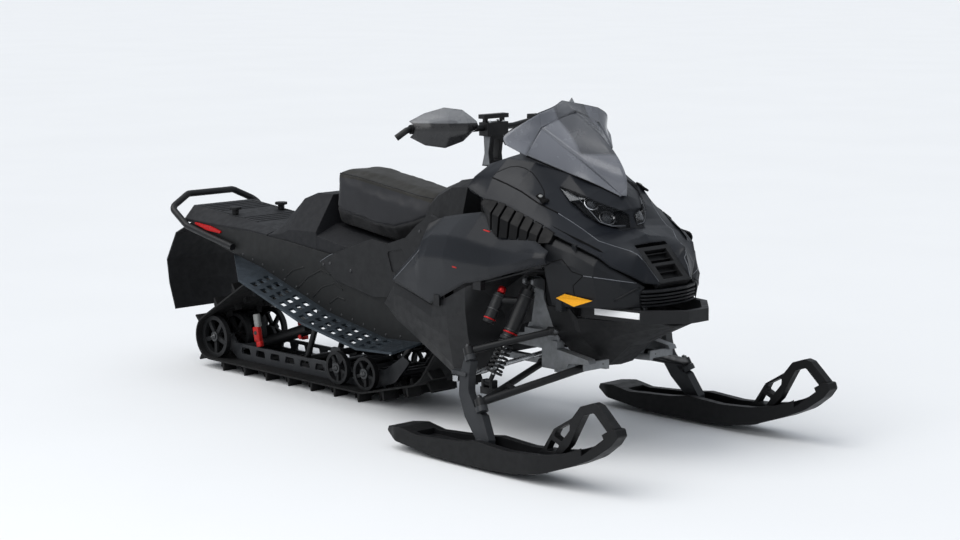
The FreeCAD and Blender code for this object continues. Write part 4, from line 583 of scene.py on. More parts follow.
# Seat: the cover's outline along x, as (distance out, height) of foot, widest line and top edge.
SEAT_ROWS = [
    (-0.47, (0.096, 0.69), (0.112, 0.755), (0.106, 0.89)),
    (-0.44, (0.112, 0.682), (0.128, 0.748), (0.116, 0.9)),
    (-0.33, (0.118, 0.664), (0.134, 0.728), (0.12, 0.898)),
    (-0.18, (0.12, 0.645), (0.138, 0.708), (0.12, 0.88)),
    (-0.08, (0.118, 0.64), (0.134, 0.704), (0.116, 0.866)),
    (0.02, (0.108, 0.662), (0.124, 0.73), (0.108, 0.85)),
    (0.118, (0.09, 0.7), (0.108, 0.768), (0.088, 0.836)),
]
SEAT_START = SEAT_ROWS[0][0]
SEAT_END = SEAT_ROWS[-1][0]
SEAT_STEPS = 30

# The blank is smaller than the finished seat by SEAT_SHRINK, and by SEAT_END_PULL more over its last
# SEAT_END_ROUND at both ends. SEAT_SHOULDER weighs its widest line and top edge between the two, and
# SEAT_CROWN is the crown's share of the top edge's width and its rise. The cloth pass blows the blank out
# by SEAT_CAP at most.
SEAT_SHRINK = 0.006
SEAT_END_PULL = 0.012
SEAT_END_ROUND = 0.03
SEAT_SHOULDER = (0.55, 0.45)
SEAT_CROWN = (0.6, 0.004)
SEAT_CAP = 0.008
SEAT_VOXEL = 0.006
SEAT_PRESSURE = 4
SEAT_STIFFNESS = 30
SEAT_FRAMES = 20
SEAT_SMOOTHING = 9

# Seams: depth and half width of the sewn lines, the band seam's height over the widest line, and the
# stretch at the seat's middle where the band seam is hidden.
BAND_SEAM = (0.0032, 0.005)
TOP_SEAM = (0.0015, 0.008)
BAND_SEAM_RISE = 0.004
HIDDEN_SEAM = {"out": 0.05, "middle": -0.17, "reach": 0.27}
TOP_PANEL_EDGE = 0.002
TOP_PANEL_DEPTH = 0.03


def seat_line(x):
    """Foot, widest line and top edge of the seat at x."""
    for (x0, *first), (x1, *second) in zip(SEAT_ROWS, SEAT_ROWS[1:]):
        if x0 <= x <= x1:
            share = (x - x0) / (x1 - x0)
            return [(y0 + (y1 - y0) * share, z0 + (z1 - z0) * share)
                    for (y0, z0), (y1, z1) in zip(first, second)]
    return SEAT_ROWS[-1][1:]


def seat_blank():
    """The shrunk start shape of the seat."""
    shape = Shape()
    rows = []
    start = SEAT_START + SEAT_SHRINK
    end = SEAT_END - SEAT_SHRINK
    for i in range(SEAT_STEPS + 1):
        x = start + (end - start) * i / SEAT_STEPS
        foot, wide, top = seat_line(x)
        near = min(1, min(x - SEAT_START, SEAT_END - x) / SEAT_END_ROUND)
        pull = SEAT_SHRINK + SEAT_END_PULL * (1 - near) ** 2
        shoulder = wide[0] * SEAT_SHOULDER[0] + top[0] * SEAT_SHOULDER[1]
        right = [(foot[0] - pull, foot[1] + SEAT_SHRINK), (wide[0] - pull, wide[1]),
                 (shoulder - pull, (wide[1] + top[1]) / 2),
                 (top[0] - pull, top[1] - SEAT_SHRINK - SEAT_CROWN[1]),
                 (top[0] * SEAT_CROWN[0], top[1] - SEAT_SHRINK)]
        rows.append([Vector((x, -y, z)) for y, z in right] + [Vector((x, y, z)) for y, z in right[::-1]])
    shape.rows(rows, True, False)
    return shape


def worked(item):
    """The item's mesh with its modifiers applied."""
    depsgraph = bpy.context.evaluated_depsgraph_get()
    mesh = bpy.data.meshes.new_from_object(item.evaluated_get(depsgraph))
    item.modifiers.clear()
    return mesh


def inflate(item):
    """Cloth under pressure, its movement capped, applied to the mesh."""
    given(item.modifiers.new("remesh", "REMESH"), mode="VOXEL", voxel_size=SEAT_VOXEL)
    item.data = worked(item)
    rest = [vertex.co.copy() for vertex in item.data.vertices]
    cloth = item.modifiers.new("cloth", "CLOTH").settings
    given(cloth, use_pressure=True, uniform_pressure_force=SEAT_PRESSURE,
          tension_stiffness=SEAT_STIFFNESS, compression_stiffness=SEAT_STIFFNESS)
    cloth.effector_weights.gravity = 0
    scene = bpy.context.scene
    for step in range(SEAT_FRAMES):
        scene.frame_set(step + 1)
    blown = worked(item)
    scene.frame_set(1)
    for vertex, start in zip(blown.vertices, rest):
        move = vertex.co - start
        if move.length > SEAT_CAP:
            vertex.co = start + move * (SEAT_CAP / move.length)
    item.data = blown


def smooth(item):
    """Even out the mesh by SEAT_SMOOTHING rounds."""
    work = bmesh.new()
    work.from_mesh(item.data)
    for _ in range(SEAT_SMOOTHING):
        bmesh.ops.smooth_vert(work, verts=work.verts, factor=0.5, use_axis_x=True, use_axis_y=True,
                              use_axis_z=True)
    work.to_mesh(item.data)
    work.free()


def seat_line_near(point):
    """The seat's lines at a point, or at the nearer end when it lies beyond."""
    return seat_line(min(max(point.x, SEAT_START), SEAT_END))


def seam_depth(point):
    """How deep a sewn seam pulls the cover in at a point, by its distance from the two seam lines."""
    _, wide, top = seat_line_near(point)
    out = abs(point.y)
    to_top = math.hypot(out - top[0], point.z - top[1])
    along = abs(point.x - HIDDEN_SEAM["middle"])
    hidden = out <= HIDDEN_SEAM["out"] and along <= HIDDEN_SEAM["reach"]
    to_band = 1 if hidden else abs(point.z - wide[1] - BAND_SEAM_RISE)
    depth = BAND_SEAM[0] * math.exp(-(to_band / BAND_SEAM[1]) ** 2)
    return depth + TOP_SEAM[0] * math.exp(-(to_top / TOP_SEAM[1]) ** 2)


def make_seat():
    item = seat_blank().make("seat_cover", "seat_side", "seat_cover")
    item.parent = None
    inflate(item)
    smooth(item)
    given(item.modifiers.new("divide", "SUBSURF"), levels=1)
    item.data = worked(item)
    mesh = item.data
    normals = [vertex.normal.copy() for vertex in mesh.vertices]
    for vertex, normal in zip(mesh.vertices, normals):
        vertex.co -= normal * seam_depth(vertex.co)
    mesh.materials.clear()
    for finish in ("seat_side", "seat_top", "seat_band"):
        mesh.materials.append(MATERIALS[finish])
    for polygon in mesh.polygons:
        polygon.use_smooth = True
        middle = polygon.center
        _, wide, top = seat_line_near(middle)
        inside = abs(middle.y) < top[0] - TOP_PANEL_EDGE
        if inside and middle.z > top[1] - TOP_PANEL_DEPTH and polygon.normal.z > 0:
            polygon.material_index = 1
        elif middle.z < wide[1] + BAND_SEAM_RISE:
            polygon.material_index = 2
    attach(item, "chassis")
    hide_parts("seat")
    SURFACES["seat_cover"] = tree_of(mesh)


# Piping round the top panel, its stitch line and the small red tab at the back.
PIPING_RADIUS = 0.0026
PIPING_INSET = 0.012
PIPING_CORNER = 0.008
PIPING_STEPS = 60
PIPING_BACK = (0.06, 0, -0.06)
PIPING_FRONT = (-0.05, 0, 0.05)
STITCH_OUT = 0.009
STITCH_LIFT = 0.0002
STITCH_SHARE = 0.55
STITCH_RADIUS = 0.0006
STITCH_SHORTEST = 0.002
SEAT_TAB = Vector((-0.462, -0.045, 0.893))
SEAT_TAB_SIZE = (0.006, 0.03, 0.012)
SEAT_TAB_LIFT = 0.0006


def on_cover(point):
    """The place on the seat's cover nearest to a point, and the cover's normal there."""
    place, normal, _, _ = SURFACES["seat_cover"].find_nearest(point)
    return place, normal


def piping_path():
    """Places and normals on the cover, once round its top panel."""
    start = SEAT_START + PIPING_INSET
    end = SEAT_END - PIPING_INSET
    right = []
    for i in range(PIPING_STEPS + 1):
        x = start + (end - start) * i / PIPING_STEPS
        out, height = seat_line(x)[2]
        right.append(Vector((x, -out, height)))
    left = [Vector((point.x, -point.y, point.z)) for point in reversed(right)]
    back = [Vector((start - PIPING_CORNER, y, SEAT_ROWS[0][3][1])) for y in PIPING_BACK]
    front = [Vector((end + PIPING_CORNER, y, SEAT_ROWS[-1][3][1])) for y in PIPING_FRONT]
    return [on_cover(point) for point in back + right + front + left]


def make_seat_piping():
    cord = Shape()
    path = piping_path()
    count = len(path)
    angles = [2 * math.pi * j / 8 for j in range(8)]
    rows = []
    for i in range(count + 1):
        place, normal = path[i % count]
        ahead = path[(i + 1) % count][0] - path[i - 1][0]
        side = ahead.cross(normal).normalized()
        rows.append([place + (normal * math.cos(a) + side * math.sin(a)) * PIPING_RADIUS for a in angles])
    cord.rows(rows, True, False)
    cord.make("seat_piping", "seam_thread", "seat_cover")


def make_seat_stitches():
    stitches = Shape()
    path = piping_path()
    for (place, normal), (following, _) in zip(path, path[1:] + path[:1]):
        ahead = following - place
        if ahead.length < STITCH_SHORTEST:
            continue
        side = ahead.cross(normal).normalized()
        start, up = on_cover(place + side * STITCH_OUT)
        start = start + up * STITCH_LIFT
        bar(stitches, start, start + ahead * STITCH_SHARE, STITCH_RADIUS, 6, False)
    stitches.make("seat_stitches", "seam_thread", "seat_cover")


def make_seat_tab():
    tab = Shape()
    place, normal = on_cover(SEAT_TAB)
    box(tab, place + normal * SEAT_TAB_LIFT, SEAT_TAB_SIZE, soft=0.3, mirrored=False)
    tab.make("seat_tab", "red_plastic", "seat_cover")


# Windshield: rows from its foot to its top, in the middle, along the crease and along the base,
# and the rear rim from the peak down.
SHIELD_MIDDLE = [(1.029, 0, 0.903), (1.024, 0, 0.975), (0.978, 0, 1.045), (0.89, 0, 1.118),
                 (0.775, 0, 1.186)]
SHIELD_CREASE = [(1.016, -0.012, 0.905), (0.949, -0.045, 0.963), (0.882, -0.078, 1.021),
                 (0.815, -0.112, 1.079), (0.747, -0.145, 1.137)]
SHIELD_BASE = [(1.01, -0.02, 0.903), (0.935, -0.066, 0.943), (0.849, -0.116, 0.98),
               (0.772, -0.181, 1.022), (0.746, -0.216, 1.041)]
SHIELD_PEAK = (0.742, -0.148, 1.188)
SHIELD_UPPER_RIM = [(0.706, 0, 1.22), (0.738, -0.075, 1.204), SHIELD_PEAK]
SHIELD_REAR_RIM = [SHIELD_PEAK, (0.728, -0.205, 1.16), (0.676, -0.256, 1.111), (0.69, -0.263, 1.08)]
SHIELD_SIDE = [SHIELD_CREASE[-1], SHIELD_BASE[-1]]
SHIELD_TOP = [SHIELD_MIDDLE[-1], SHIELD_CREASE[-1]]
SHIELD_WALL = 0.0035
SHIELD_OUTWARDS = Vector((0.6, -0.5, 0.6))
SHEET_COUNT = 28
SHEET_ACROSS = 8

# Bow of each sheet, as a share of its width.
SHIELD_SHEETS = [(SHIELD_MIDDLE, SHIELD_CREASE, 0.03), (SHIELD_CREASE, SHIELD_BASE, 0.02),
                 (SHIELD_TOP, SHIELD_UPPER_RIM, 0), (SHIELD_SIDE, SHIELD_REAR_RIM, 0)]

# Beads along the shield's edges: line, steps, radius.
SHIELD_BEADS = [(SHIELD_UPPER_RIM, 24, 0.0028), (SHIELD_REAR_RIM, 24, 0.0028), (SHIELD_BASE, 28, 0.003)]
# A pale bead down the rear crease is a painted highlight: line, steps, radius.
CREASE_HIGHLIGHT = (SHIELD_SIDE, 12, 0.0016)


def smooth_line(points, count):
    """The bent line through the points, as count + 1 places."""
    points = [Vector(point) for point in points]
    line = []
    for i in range(count + 1):
        along = (len(points) - 1) * i / count
        j = min(int(along), len(points) - 2)
        t = along - j
        before = points[max(j - 1, 0)]
        start = points[j]
        end = points[j + 1]
        after = points[min(j + 2, len(points) - 1)]
        line.append(start * (1.5 * t ** 3 - 2.5 * t ** 2 + 1) + end * (2 * t ** 2 - 1.5 * t ** 3 + 0.5 * t)
                    + before * (t ** 2 - 0.5 * t ** 3 - 0.5 * t) + after * (0.5 * t ** 3 - 0.5 * t ** 2))
    return line


def sheet_rows(first, second, bow):
    """Rows of points from one line to the other, bowed outwards by a share of the width."""
    rails = (smooth_line(first, SHEET_COUNT), smooth_line(second, SHEET_COUNT))
    rows = []
    for j in range(SHEET_ACROSS + 1):
        share = j / SHEET_ACROSS
        rise = bow * 4 * share * (1 - share)
        rows.append([a.lerp(b, share) + SHIELD_OUTWARDS * (rise * (b - a).length) for a, b in zip(*rails)])
    return rows


def sheet_normals(rows):
    normals = []
    for j, row in enumerate(rows):
        above = rows[min(j + 1, SHEET_ACROSS)]
        below = rows[max(j - 1, 0)]
        for i in range(len(row)):
            along = row[min(i + 1, SHEET_COUNT)] - row[max(i - 1, 0)]
            normals.append((above[i] - below[i]).cross(along).normalized())
    return normals


def sheet_between(shape, first, second, bow):
    rows = sheet_rows(first, second, bow)
    vertices = [point for row in rows for point in row]
    total = len(vertices)
    vertices += [vertex + normal * SHIELD_WALL for vertex, normal in zip(vertices, sheet_normals(rows))]
    width = SHEET_COUNT + 1
    faces = []
    for a in [j * width + i for j in range(SHEET_ACROSS) for i in range(SHEET_COUNT)]:
        b, c, d = a + 1, a + width + 1, a + width
        faces += [(a, b, c, d), (a + total, d + total, c + total, b + total)]
    first_row, last_row = range(width), range(total - width, total)
    right, left = range(SHEET_COUNT, total, width), range(0, total, width)
    border = [edge for side in (first_row, right) for edge in zip(side, side[1:])]
    border += [(b, a) for side in (last_row, left) for a, b in zip(side, side[1:])]
    faces += [(b, a, a + total, b + total) for a, b in border]
    shape.add(vertices, faces)


def make_shield():
    """The tinted shield as smooth sheets that meet in crisp creases."""
    shape = Shape()
    for first, second, bow in SHIELD_SHEETS:
        sheet_between(shape, first, second, bow)
    item = shape.make("shield", "tinted_shield", "tint")
    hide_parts("windshield")
    edge = Shape()
    for points, steps, radius in SHIELD_BEADS:
        wire(edge, smooth_line(points, steps), radius)
    edge.make("shield_edge", "groove_black")
    # Pale bead down the rear crease: a painted highlight.
    crease = Shape()
    points, steps, radius = CREASE_HIGHLIGHT
    wire(crease, smooth_line(points, steps), radius)
    crease.make("shield_crease_highlight", "pale_plastic_and_highlight", "tint")


# Painted shade: a dark sheet behind the joints of hood, cowl and nose, standing in for the shaded inside.
# Rows: x, band's foot as (distance out, height).
SHADE_SHEET = [(0.6, 0.312, 0.885), (0.76, 0.318, 0.874), (0.86, 0.307, 0.833), (0.96, 0.3, 0.793),
         (1.01, 0.283, 0.772), (1.064, 0.268, 0.752), (1.12, 0.245, 0.726), (1.157, 0.215, 0.69),
         (1.19, 0.172, 0.662), (1.205, 0.12, 0.64), (1.208, 0.0, 0.63)]
SHADE_SHEET_BEHIND = 0.01
SHADE_SHEET_INSET = 0.024

# The dark sheet's section: further out than the inset, and height over the band's foot.
SHADE_SHEET_SECTION = [(0, 0.02), (0.004, -0.02), (0, -0.075)]


def make_shade_sheet():
    """Painted shade: a dark sheet that closes the joints of the bodywork from inside, where the inside lies
    in shade.
    """
    shape = Shape()
    rows = []
    for x, out, height in SHADE_SHEET:
        inner = max(out - SHADE_SHEET_INSET, 0)
        rows.append([Vector((x - SHADE_SHEET_BEHIND, -inner - more, height + rise))
                     for more, rise in SHADE_SHEET_SECTION])
    shape.rows(rows, False)
    shape.make("painted_shade_sheet", "groove_black")


# Headlamps.
LAMP_AIM = Vector((0.72, -0.32, 0.61)).normalized()
LAMP_BOWLS = [((591.7, 203.3), 0.028), ((607.5, 217.5), 0.031)]
LAMP_DEPTH = 0.012

# Profiles as (share of the bowl's radius, height), and the tip as (radius, height).
BOWL = [(0.5, -0.016), (0.95, -0.004), (1, 0), (0.86, 0.001), (0.72, -0.008), (0.3, -0.012)]
BOWL_TIP = (0.0005, -0.012)
PROJECTOR = [(0.6, -0.011), (0.6, -0.006), (0.48, -0.001), (0.25, 0.002)]
PROJECTOR_TIP = (0.0005, 0.003)


def make_lamp_bowls():
    rims = Shape()
    glasses = Shape()
    for pixel, radius in LAMP_BOWLS:
        place, _ = met("headlamps", pixel, "photo")
        middle = place + photo_ray(pixel) * LAMP_DEPTH
        for shape, profile, tip, sides in ((rims, BOWL, BOWL_TIP, 28),
                                           (glasses, PROJECTOR, PROJECTOR_TIP, 24)):
            steps = [(radius * share, height) for share, height in profile]
            turned(shape, middle, LAMP_AIM, steps + [tip], sides)
    rims.make("lamp_bowls", "chrome", "lamp_lens")
    glasses.make("lamp_projectors", "bowl_glass", "lamp_lens")


# Lines and marks on the bodywork: piece, node, line by the photo's pixels, width, height, finish, slot,
# and whether the left side has one too.
BLACK_GROOVE = ("groove_black", "black_plastic", True)
# Pale ribs that trace bright edges and creases are painted highlights.
PAINTED_HIGHLIGHT = ("edge_light", "body_paint", True)
RED_MARK = ("red_plastic", "red_lens", False)
BODY_LINES = [
    ("lamp_light_guide", "headlamps", [(566, 191), (578, 198), (590, 211), (600, 222), (612, 226),
     (626, 226)], 0.003, 0.0008, "edge_light", "lamp_lens", True),
    ("hatch_line", "hood", [(495, 173.3), (503, 169.5), (510, 166.9), (518, 166.3), (525, 168.3),
     (532, 172.4), (536.7, 178.3), (541, 185), (544, 191), (544.5, 197)], 0.0035, 0.0003, *BLACK_GROOVE),
    ("deck_line", "hood", [(492.5, 177.5), (507, 184), (521.7, 191.7), (538.3, 203.3), (558.3, 213.3)],
     0.006, 0.0006, *BLACK_GROOVE),
    ("band_edge", "hood", [(558.3, 213.3), (571.7, 221.7), (585, 230.8), (598.3, 240.8), (614, 246),
     (630, 250.8), (638.3, 255), (645.5, 263), (651.7, 271.7), (659.2, 281.7)], 0.0035, 0.0004, *PAINTED_HIGHLIGHT),
    ("cowl_groove", "nose_cowl", [(543.5, 267), (552, 262), (561.7, 259.2), (571.7, 271.7),
     (583.3, 275.8)], 0.004, 0.0003, *BLACK_GROOVE),
    ("cowl_step", "nose_cowl", [(583.3, 275.8), (578, 281), (573, 286), (575, 300)], 0.004, 0.0003,
     *BLACK_GROOVE),
    ("cowl_edge", "nose_cowl", [(583, 276), (594, 277.5), (605, 279), (625, 281.7), (642, 284)],
     0.003, 0.0004, *PAINTED_HIGHLIGHT),
    ("cowl_strake", "nose_cowl", [(614, 301), (622, 297), (631, 292), (640, 287.5)], 0.009, 0.0022,
     "cowl_paint", "body_paint", True),
    # Painted highlight along the side cover's upper edge.
    ("side_cover_edge_highlight", "side_covers", [(319, 263), (320, 261.5), (330, 255), (343, 249.5),
     (358, 243.5), (373.3, 237.5)], 0.003, 0.0004, "edge_light", "black_plastic", True),
    ("panel_mark", "side_panel_right", [(483.5, 229.7), (486.7, 230.8), (490, 231.8)], 0.006, 0.0004,
     *RED_MARK),
    ("lower_mark", "side_panel_right", [(452, 266.6), (454.2, 267.2), (456.4, 267.9)], 0.006, 0.0004,
     *RED_MARK),
    ("panel_edge_right", "side_panel_right", [(392, 281), (401, 271), (410, 261), (419, 250)],
     0.003, 0.0004, *PAINTED_HIGHLIGHT),
]


def make_body_lines():
    for name, node, line, width, lift, finish, slot, mirrored in BODY_LINES:
        ribbon(name, node, line, "photo", width, lift, finish, slot, mirrored)


# Latches of the hood.
LATCH = (541.5, 198.5)
LATCH_ALONG = Vector((0.82, 0, -0.57))
LATCH_RISE = 0.003
STRAP_SIZE = (0.042, 0.021, 0.007)
HOOK_SIZE = (0.014, 0.03, 0.008)
HOOK_AHEAD = 0.022
BUTTON_BEHIND = 0.006
BUTTON_RISE = 0.006
BUTTON_PROFILE = [(0.0075, 0), (0.0075, 0.002), (0.005, 0.0034), (0.0005, 0.0034)]


def make_latches():
    strap = Shape()
    button = Shape()
    place, normal = met("hood", LATCH, "photo")
    along = (LATCH_ALONG - normal * LATCH_ALONG.dot(normal)).normalized()
    turn = Matrix((along, normal.cross(along), normal)).transposed()
    middle = place + normal * LATCH_RISE
    box(strap, middle, STRAP_SIZE, turn, 0.35)
    box(strap, middle + along * HOOK_AHEAD, HOOK_SIZE, turn, 0.4)
    turned(button, place + normal * BUTTON_RISE - along * BUTTON_BEHIND, normal, BUTTON_PROFILE, 18)
    strap.make("hood_latches", "groove_black")
    button.make("latch_buttons", "pale_plastic_and_highlight")


# Fasteners. Cover screws by node, places, the way they are looked for, and radius of the head.
RIGHTWARDS = Vector((0, -1, 0))
COVER_SCREWS = [
    ("side_covers", [(330, 263.3), (350.8, 270.8)], "photo", 0.0065),
    ("tunnel", [(283.3, 270)], "photo", 0.004),
    ("rear_bumper", [(262.7, 201.7)], "photo", 0.006),
    ("side_covers", [(-0.41, 0.535), (0.17, 0.72), (0.245, 0.745)], "side", 0.006),
]
AXLE_ENDS = [(-1.235, 0.134), (-0.413, 0.1125), (-0.24, 0.1125)]
AXLE_NUT_SIDE = -0.166
AXLE_NUT_RADIUS = 0.0085
AXLE_WASHER_SIDE = -0.1615
AXLE_WASHER = [(0.022, 0), (0.022, 0.0025), (0.02, 0.0035), (0.013, 0.0035)]
TUNNEL_LINE = [(-1.25, 0.586), (-1.025, 0.532), (-0.825, 0.49), (-0.385, 0.356), (-0.05, 0.299),
               (0.12, 0.306)]
RIVET_PITCH = 0.075
RIVET_RADIUS = 0.0048
TUNNEL_SIDE = -0.19


def make_cover_screws():
    screws = Shape()
    for node, points, way, radius in COVER_SCREWS:
        for place, normal in marks(node, points, way):
            head(screws, place, normal, radius, SCREW)
    screws.make("cover_screws", "dark_steel", "steel")


def make_tunnel_rivets():
    """Rivets along the tunnel's lower edge, where its side is seen."""
    rivets = Shape()
    line = [Vector(point) for point in TUNNEL_LINE]
    for start, end in zip(line, line[1:]):
        count = max(2, round((end - start).length / RIVET_PITCH))
        points = [start.lerp(end, i / count) for i in range(count)]
        for place, normal in marks("tunnel", points, "side"):
            if place.y < TUNNEL_SIDE:
                head(rivets, place, normal, RIVET_RADIUS, SCREW, 12)
    rivets.make("tunnel_rivets", "dark_steel", "tunnel_paint")


def make_axle_nuts():
    nuts = Shape()
    for x, z in AXLE_ENDS:
        head(nuts, (x, AXLE_NUT_SIDE, z), RIGHTWARDS, AXLE_NUT_RADIUS, NUT, 6)
        turned(nuts, (x, AXLE_WASHER_SIDE, z), RIGHTWARDS, AXLE_WASHER, 24)
    nuts.make("axle_nuts", "dark_steel", "steel")


# Front suspension, by the places of its solids.
TOWER_EYE = Vector((0.822, -0.264, 0.606))
SHOCK_FOOT = Vector((0.778, -0.43, 0.262))
SHOCK_AXIS = (TOWER_EYE - SHOCK_FOOT).normalized()
SHOCK_LENGTH = (TOWER_EYE - SHOCK_FOOT).length
RESERVOIR_TOP = SHOCK_FOOT + SHOCK_AXIS * (SHOCK_LENGTH - 0.046) + Vector((-0.076, -0.056, 0))
UPPER_JOINT = Vector((0.748, -0.498, 0.38))
LOWER_JOINT = Vector((0.835, -0.525, 0.215))
KING_PIN = (UPPER_JOINT - LOWER_JOINT).normalized()
ARM_PIVOTS = [Vector((0.922, -0.262, 0.444)), Vector((0.668, -0.246, 0.378)),
              Vector((1.016, -0.134, 0.326)), Vector((0.77, -0.16, 0.298))]
ARM_PIVOT_AXIS = Vector((1, 0, 0.05)).normalized()
ARM_PIVOT_REACH = 0.016
ARM_BOLT_RADIUS = 0.0075
KING_PIN_REACH = 0.0128
KING_NUT_RADIUS = 0.0095

# Bands round the damper and its reservoir: start, distance along the axis, radius, half width.
SHAFT_ENDS = (0.03, 0.165)
SHAFT_RADIUS = 0.0086
RED_BANDS = [(SHOCK_FOOT, 0.19, 0.0252, 0.0035), (RESERVOIR_TOP, -0.096, 0.0212, 0.003)]
COLLARS = [(SHOCK_FOOT, distance, 0.0252, 0.0022) for distance in (0.176, 0.2, 0.33)]
COLLARS += [(RESERVOIR_TOP, distance, 0.0212, 0.002) for distance in (-0.012, -0.06)]
KNOB = [(0.0125, 0.002), (0.0145, 0.006), (0.0145, 0.018), (0.0125, 0.025), (0.006, 0.0275),
        (0.0005, 0.0275)]


def bands(shape, table):
    for start, distance, radius, half in table:
        ring(shape, start + SHOCK_AXIS * distance, SHOCK_AXIS, radius, half)


def make_shock_trim():
    shafts = Shape()
    start, end = [SHOCK_FOOT + SHOCK_AXIS * distance for distance in SHAFT_ENDS]
    bar(shafts, start, end, SHAFT_RADIUS)
    shafts.make("shock_shafts", "steel", "steel")
    red = Shape()
    bands(red, RED_BANDS)
    turned(red, RESERVOIR_TOP, SHOCK_AXIS, KNOB, 14)
    red.make("shock_bands", "red_anodised", "damper_metal")
    collars = Shape()
    bands(collars, COLLARS)
    collars.make("shock_collars", "dark_steel", "damper_metal")


def make_arm_bolts():
    heads = Shape()
    out = ARM_PIVOT_AXIS * ARM_PIVOT_REACH
    for pivot in ARM_PIVOTS:
        head(heads, pivot + out, ARM_PIVOT_AXIS, ARM_BOLT_RADIUS, NUT, 6)
        head(heads, pivot - out, -ARM_PIVOT_AXIS, ARM_BOLT_RADIUS)
    for joint in (UPPER_JOINT, LOWER_JOINT):
        head(heads, joint + KING_PIN * KING_PIN_REACH, KING_PIN, KING_NUT_RADIUS, NUT, 6)
    heads.make("arm_bolts", "dark_steel", "steel")


# Handlebar: riser plates as (x, z) on three planes, clamp bolts and the ribs of the grips, which keep
# clear of the grips' ends by shares of their pitch.
RISER_OUTLINE = [(0.328, 1.074), (0.362, 1.074), (0.351, 1.012), (0.357, 0.966), (0.318, 0.966),
                 (0.332, 1.012)]
RISER_SIDES = (-0.0335, -0.0325, -0.029)
RISER_BEVEL = 0.93
BAR_CLAMP = Vector((0.345, 0, 1.126))
CLAMP_BOLTS = [(-0.016, -0.034), (0.016, -0.034)]
CLAMP_BOLT_RADIUS = 0.0055
GRIP_IN = Vector((0.338, -0.25, 1.124))
GRIP_OUT = Vector((0.318, -0.385, 1.12))
GRIP_RIBS = 14
GRIP_RIB_ENDS = (0.7, 0.6)
GRIP_RADIUS = 0.0168
GRIP_RIB_HALF = 0.0012


def make_riser_plates():
    """The pale uprights on both sides of the riser."""
    plates = Shape()
    outer, rim, inner = [[Vector((x, y, z)) for x, z in RISER_OUTLINE] for y in RISER_SIDES]
    middle = sum(outer, Vector()) / len(outer)
    outer = [middle + (point - middle) * RISER_BEVEL for point in outer]
    plates.rows([outer, rim, inner], True)
    plates.make("riser_plates", "cast_metal", "cast_metal", "handlebar_group", False)


def make_clamp_bolts():
    bolts = Shape()
    for x, y in CLAMP_BOLTS:
        head(bolts, BAR_CLAMP + Vector((x, y, 0)), (0, 0, 1), CLAMP_BOLT_RADIUS)
    bolts.make("clamp_bolts", "steel", "steel", "handlebar_group")


def make_grip_ribs():
    ribs = Shape()
    span = GRIP_OUT - GRIP_IN
    along = span.normalized()
    for i in range(GRIP_RIBS):
        place = GRIP_IN + along * (span.length * (i + GRIP_RIB_ENDS[0]) / (GRIP_RIBS + GRIP_RIB_ENDS[1]))
        ring(ribs, place, along, GRIP_RADIUS, GRIP_RIB_HALF, 20)
    ribs.make("grip_ribs", "grip_rubber", "grip_rubber", "handlebar_group")


# The display on the rear face of the gauge pod, by y and z.
SCREEN_ACROSS = (-0.058, -0.03, 0, 0.03, 0.058)
SCREEN_HEIGHTS = (1.024, 1.036, 1.048, 1.06)
SCREEN_LIFT = 0.0008
BEZEL = [(-0.062, 1.02), (0.062, 1.02), (0.062, 1.063), (-0.062, 1.063), (-0.062, 1.02)]
BEZEL_RIB = (0.006, 0.002)


def make_screen():
    glass = Shape()
    rows = []
    for z in SCREEN_HEIGHTS:
        row = marks("gauge_pod", [(y, z) for y in SCREEN_ACROSS], "behind")
        rows.append([place + normal * SCREEN_LIFT for place, normal in row])
    glass.rows(rows, False, False)
    glass.make("display_glass", "screen_glass")
    ribbon("display_bezel", "gauge_pod", BEZEL, "behind", *BEZEL_RIB, "smooth_plastic", "black_plastic",
           False)


# The coupling block of the rear suspension and its pale spacer, beside the right rail.
COUPLING_SIDE = -0.118
COUPLING_PIXELS = {"spacer": (257.3, 320.5), "block": (257.8, 334.0), "button": (300.0, 337.0)}
COUPLING_LEAN = math.radians(-12)
SPACER_SIZE = (0.03, 0.018, 0.055)
BLOCK_SIZE = (0.036, 0.022, 0.062)
BLOCK_FOOT = Vector((0.014, 0, -0.04))
BLOCK_FOOT_SIZE = (0.03, 0.02, 0.024)
BLOCK_BOLT = Vector((0, -0.0112, 0.006))
BLOCK_BOLT_RADIUS = 0.006
BUTTON_RADIUS = 0.01


def on_coupling_plane(part):
    """Where the photo shows a part of the coupling, on the plane beside the rail."""
    ray = photo_ray(COUPLING_PIXELS[part])
    return CAMERA_PLACE + ray * ((COUPLING_SIDE - CAMERA_PLACE.y) / ray.y)


def make_coupling():
    spacer = Shape()
    block = Shape()
    lean = Matrix.Rotation(COUPLING_LEAN, 3, "Y")
    box(spacer, on_coupling_plane("spacer"), SPACER_SIZE, lean, 0.3)
    middle = on_coupling_plane("block")
    box(block, middle, BLOCK_SIZE, lean, 0.25)
    box(block, middle + BLOCK_FOOT, BLOCK_FOOT_SIZE, lean, 0.25)
    head(block, on_coupling_plane("button"), RIGHTWARDS, BUTTON_RADIUS, SCREW)
    spacer.make("coupling_spacer", "pale_plastic_and_highlight", "steel")
    block.make("coupling_block", "red_plastic", "damper_metal")
    bolt = Shape()
    head(bolt, middle + BLOCK_BOLT, RIGHTWARDS, BLOCK_BOLT_RADIUS)
    bolt.make("coupling_bolts", "dark_steel", "steel")


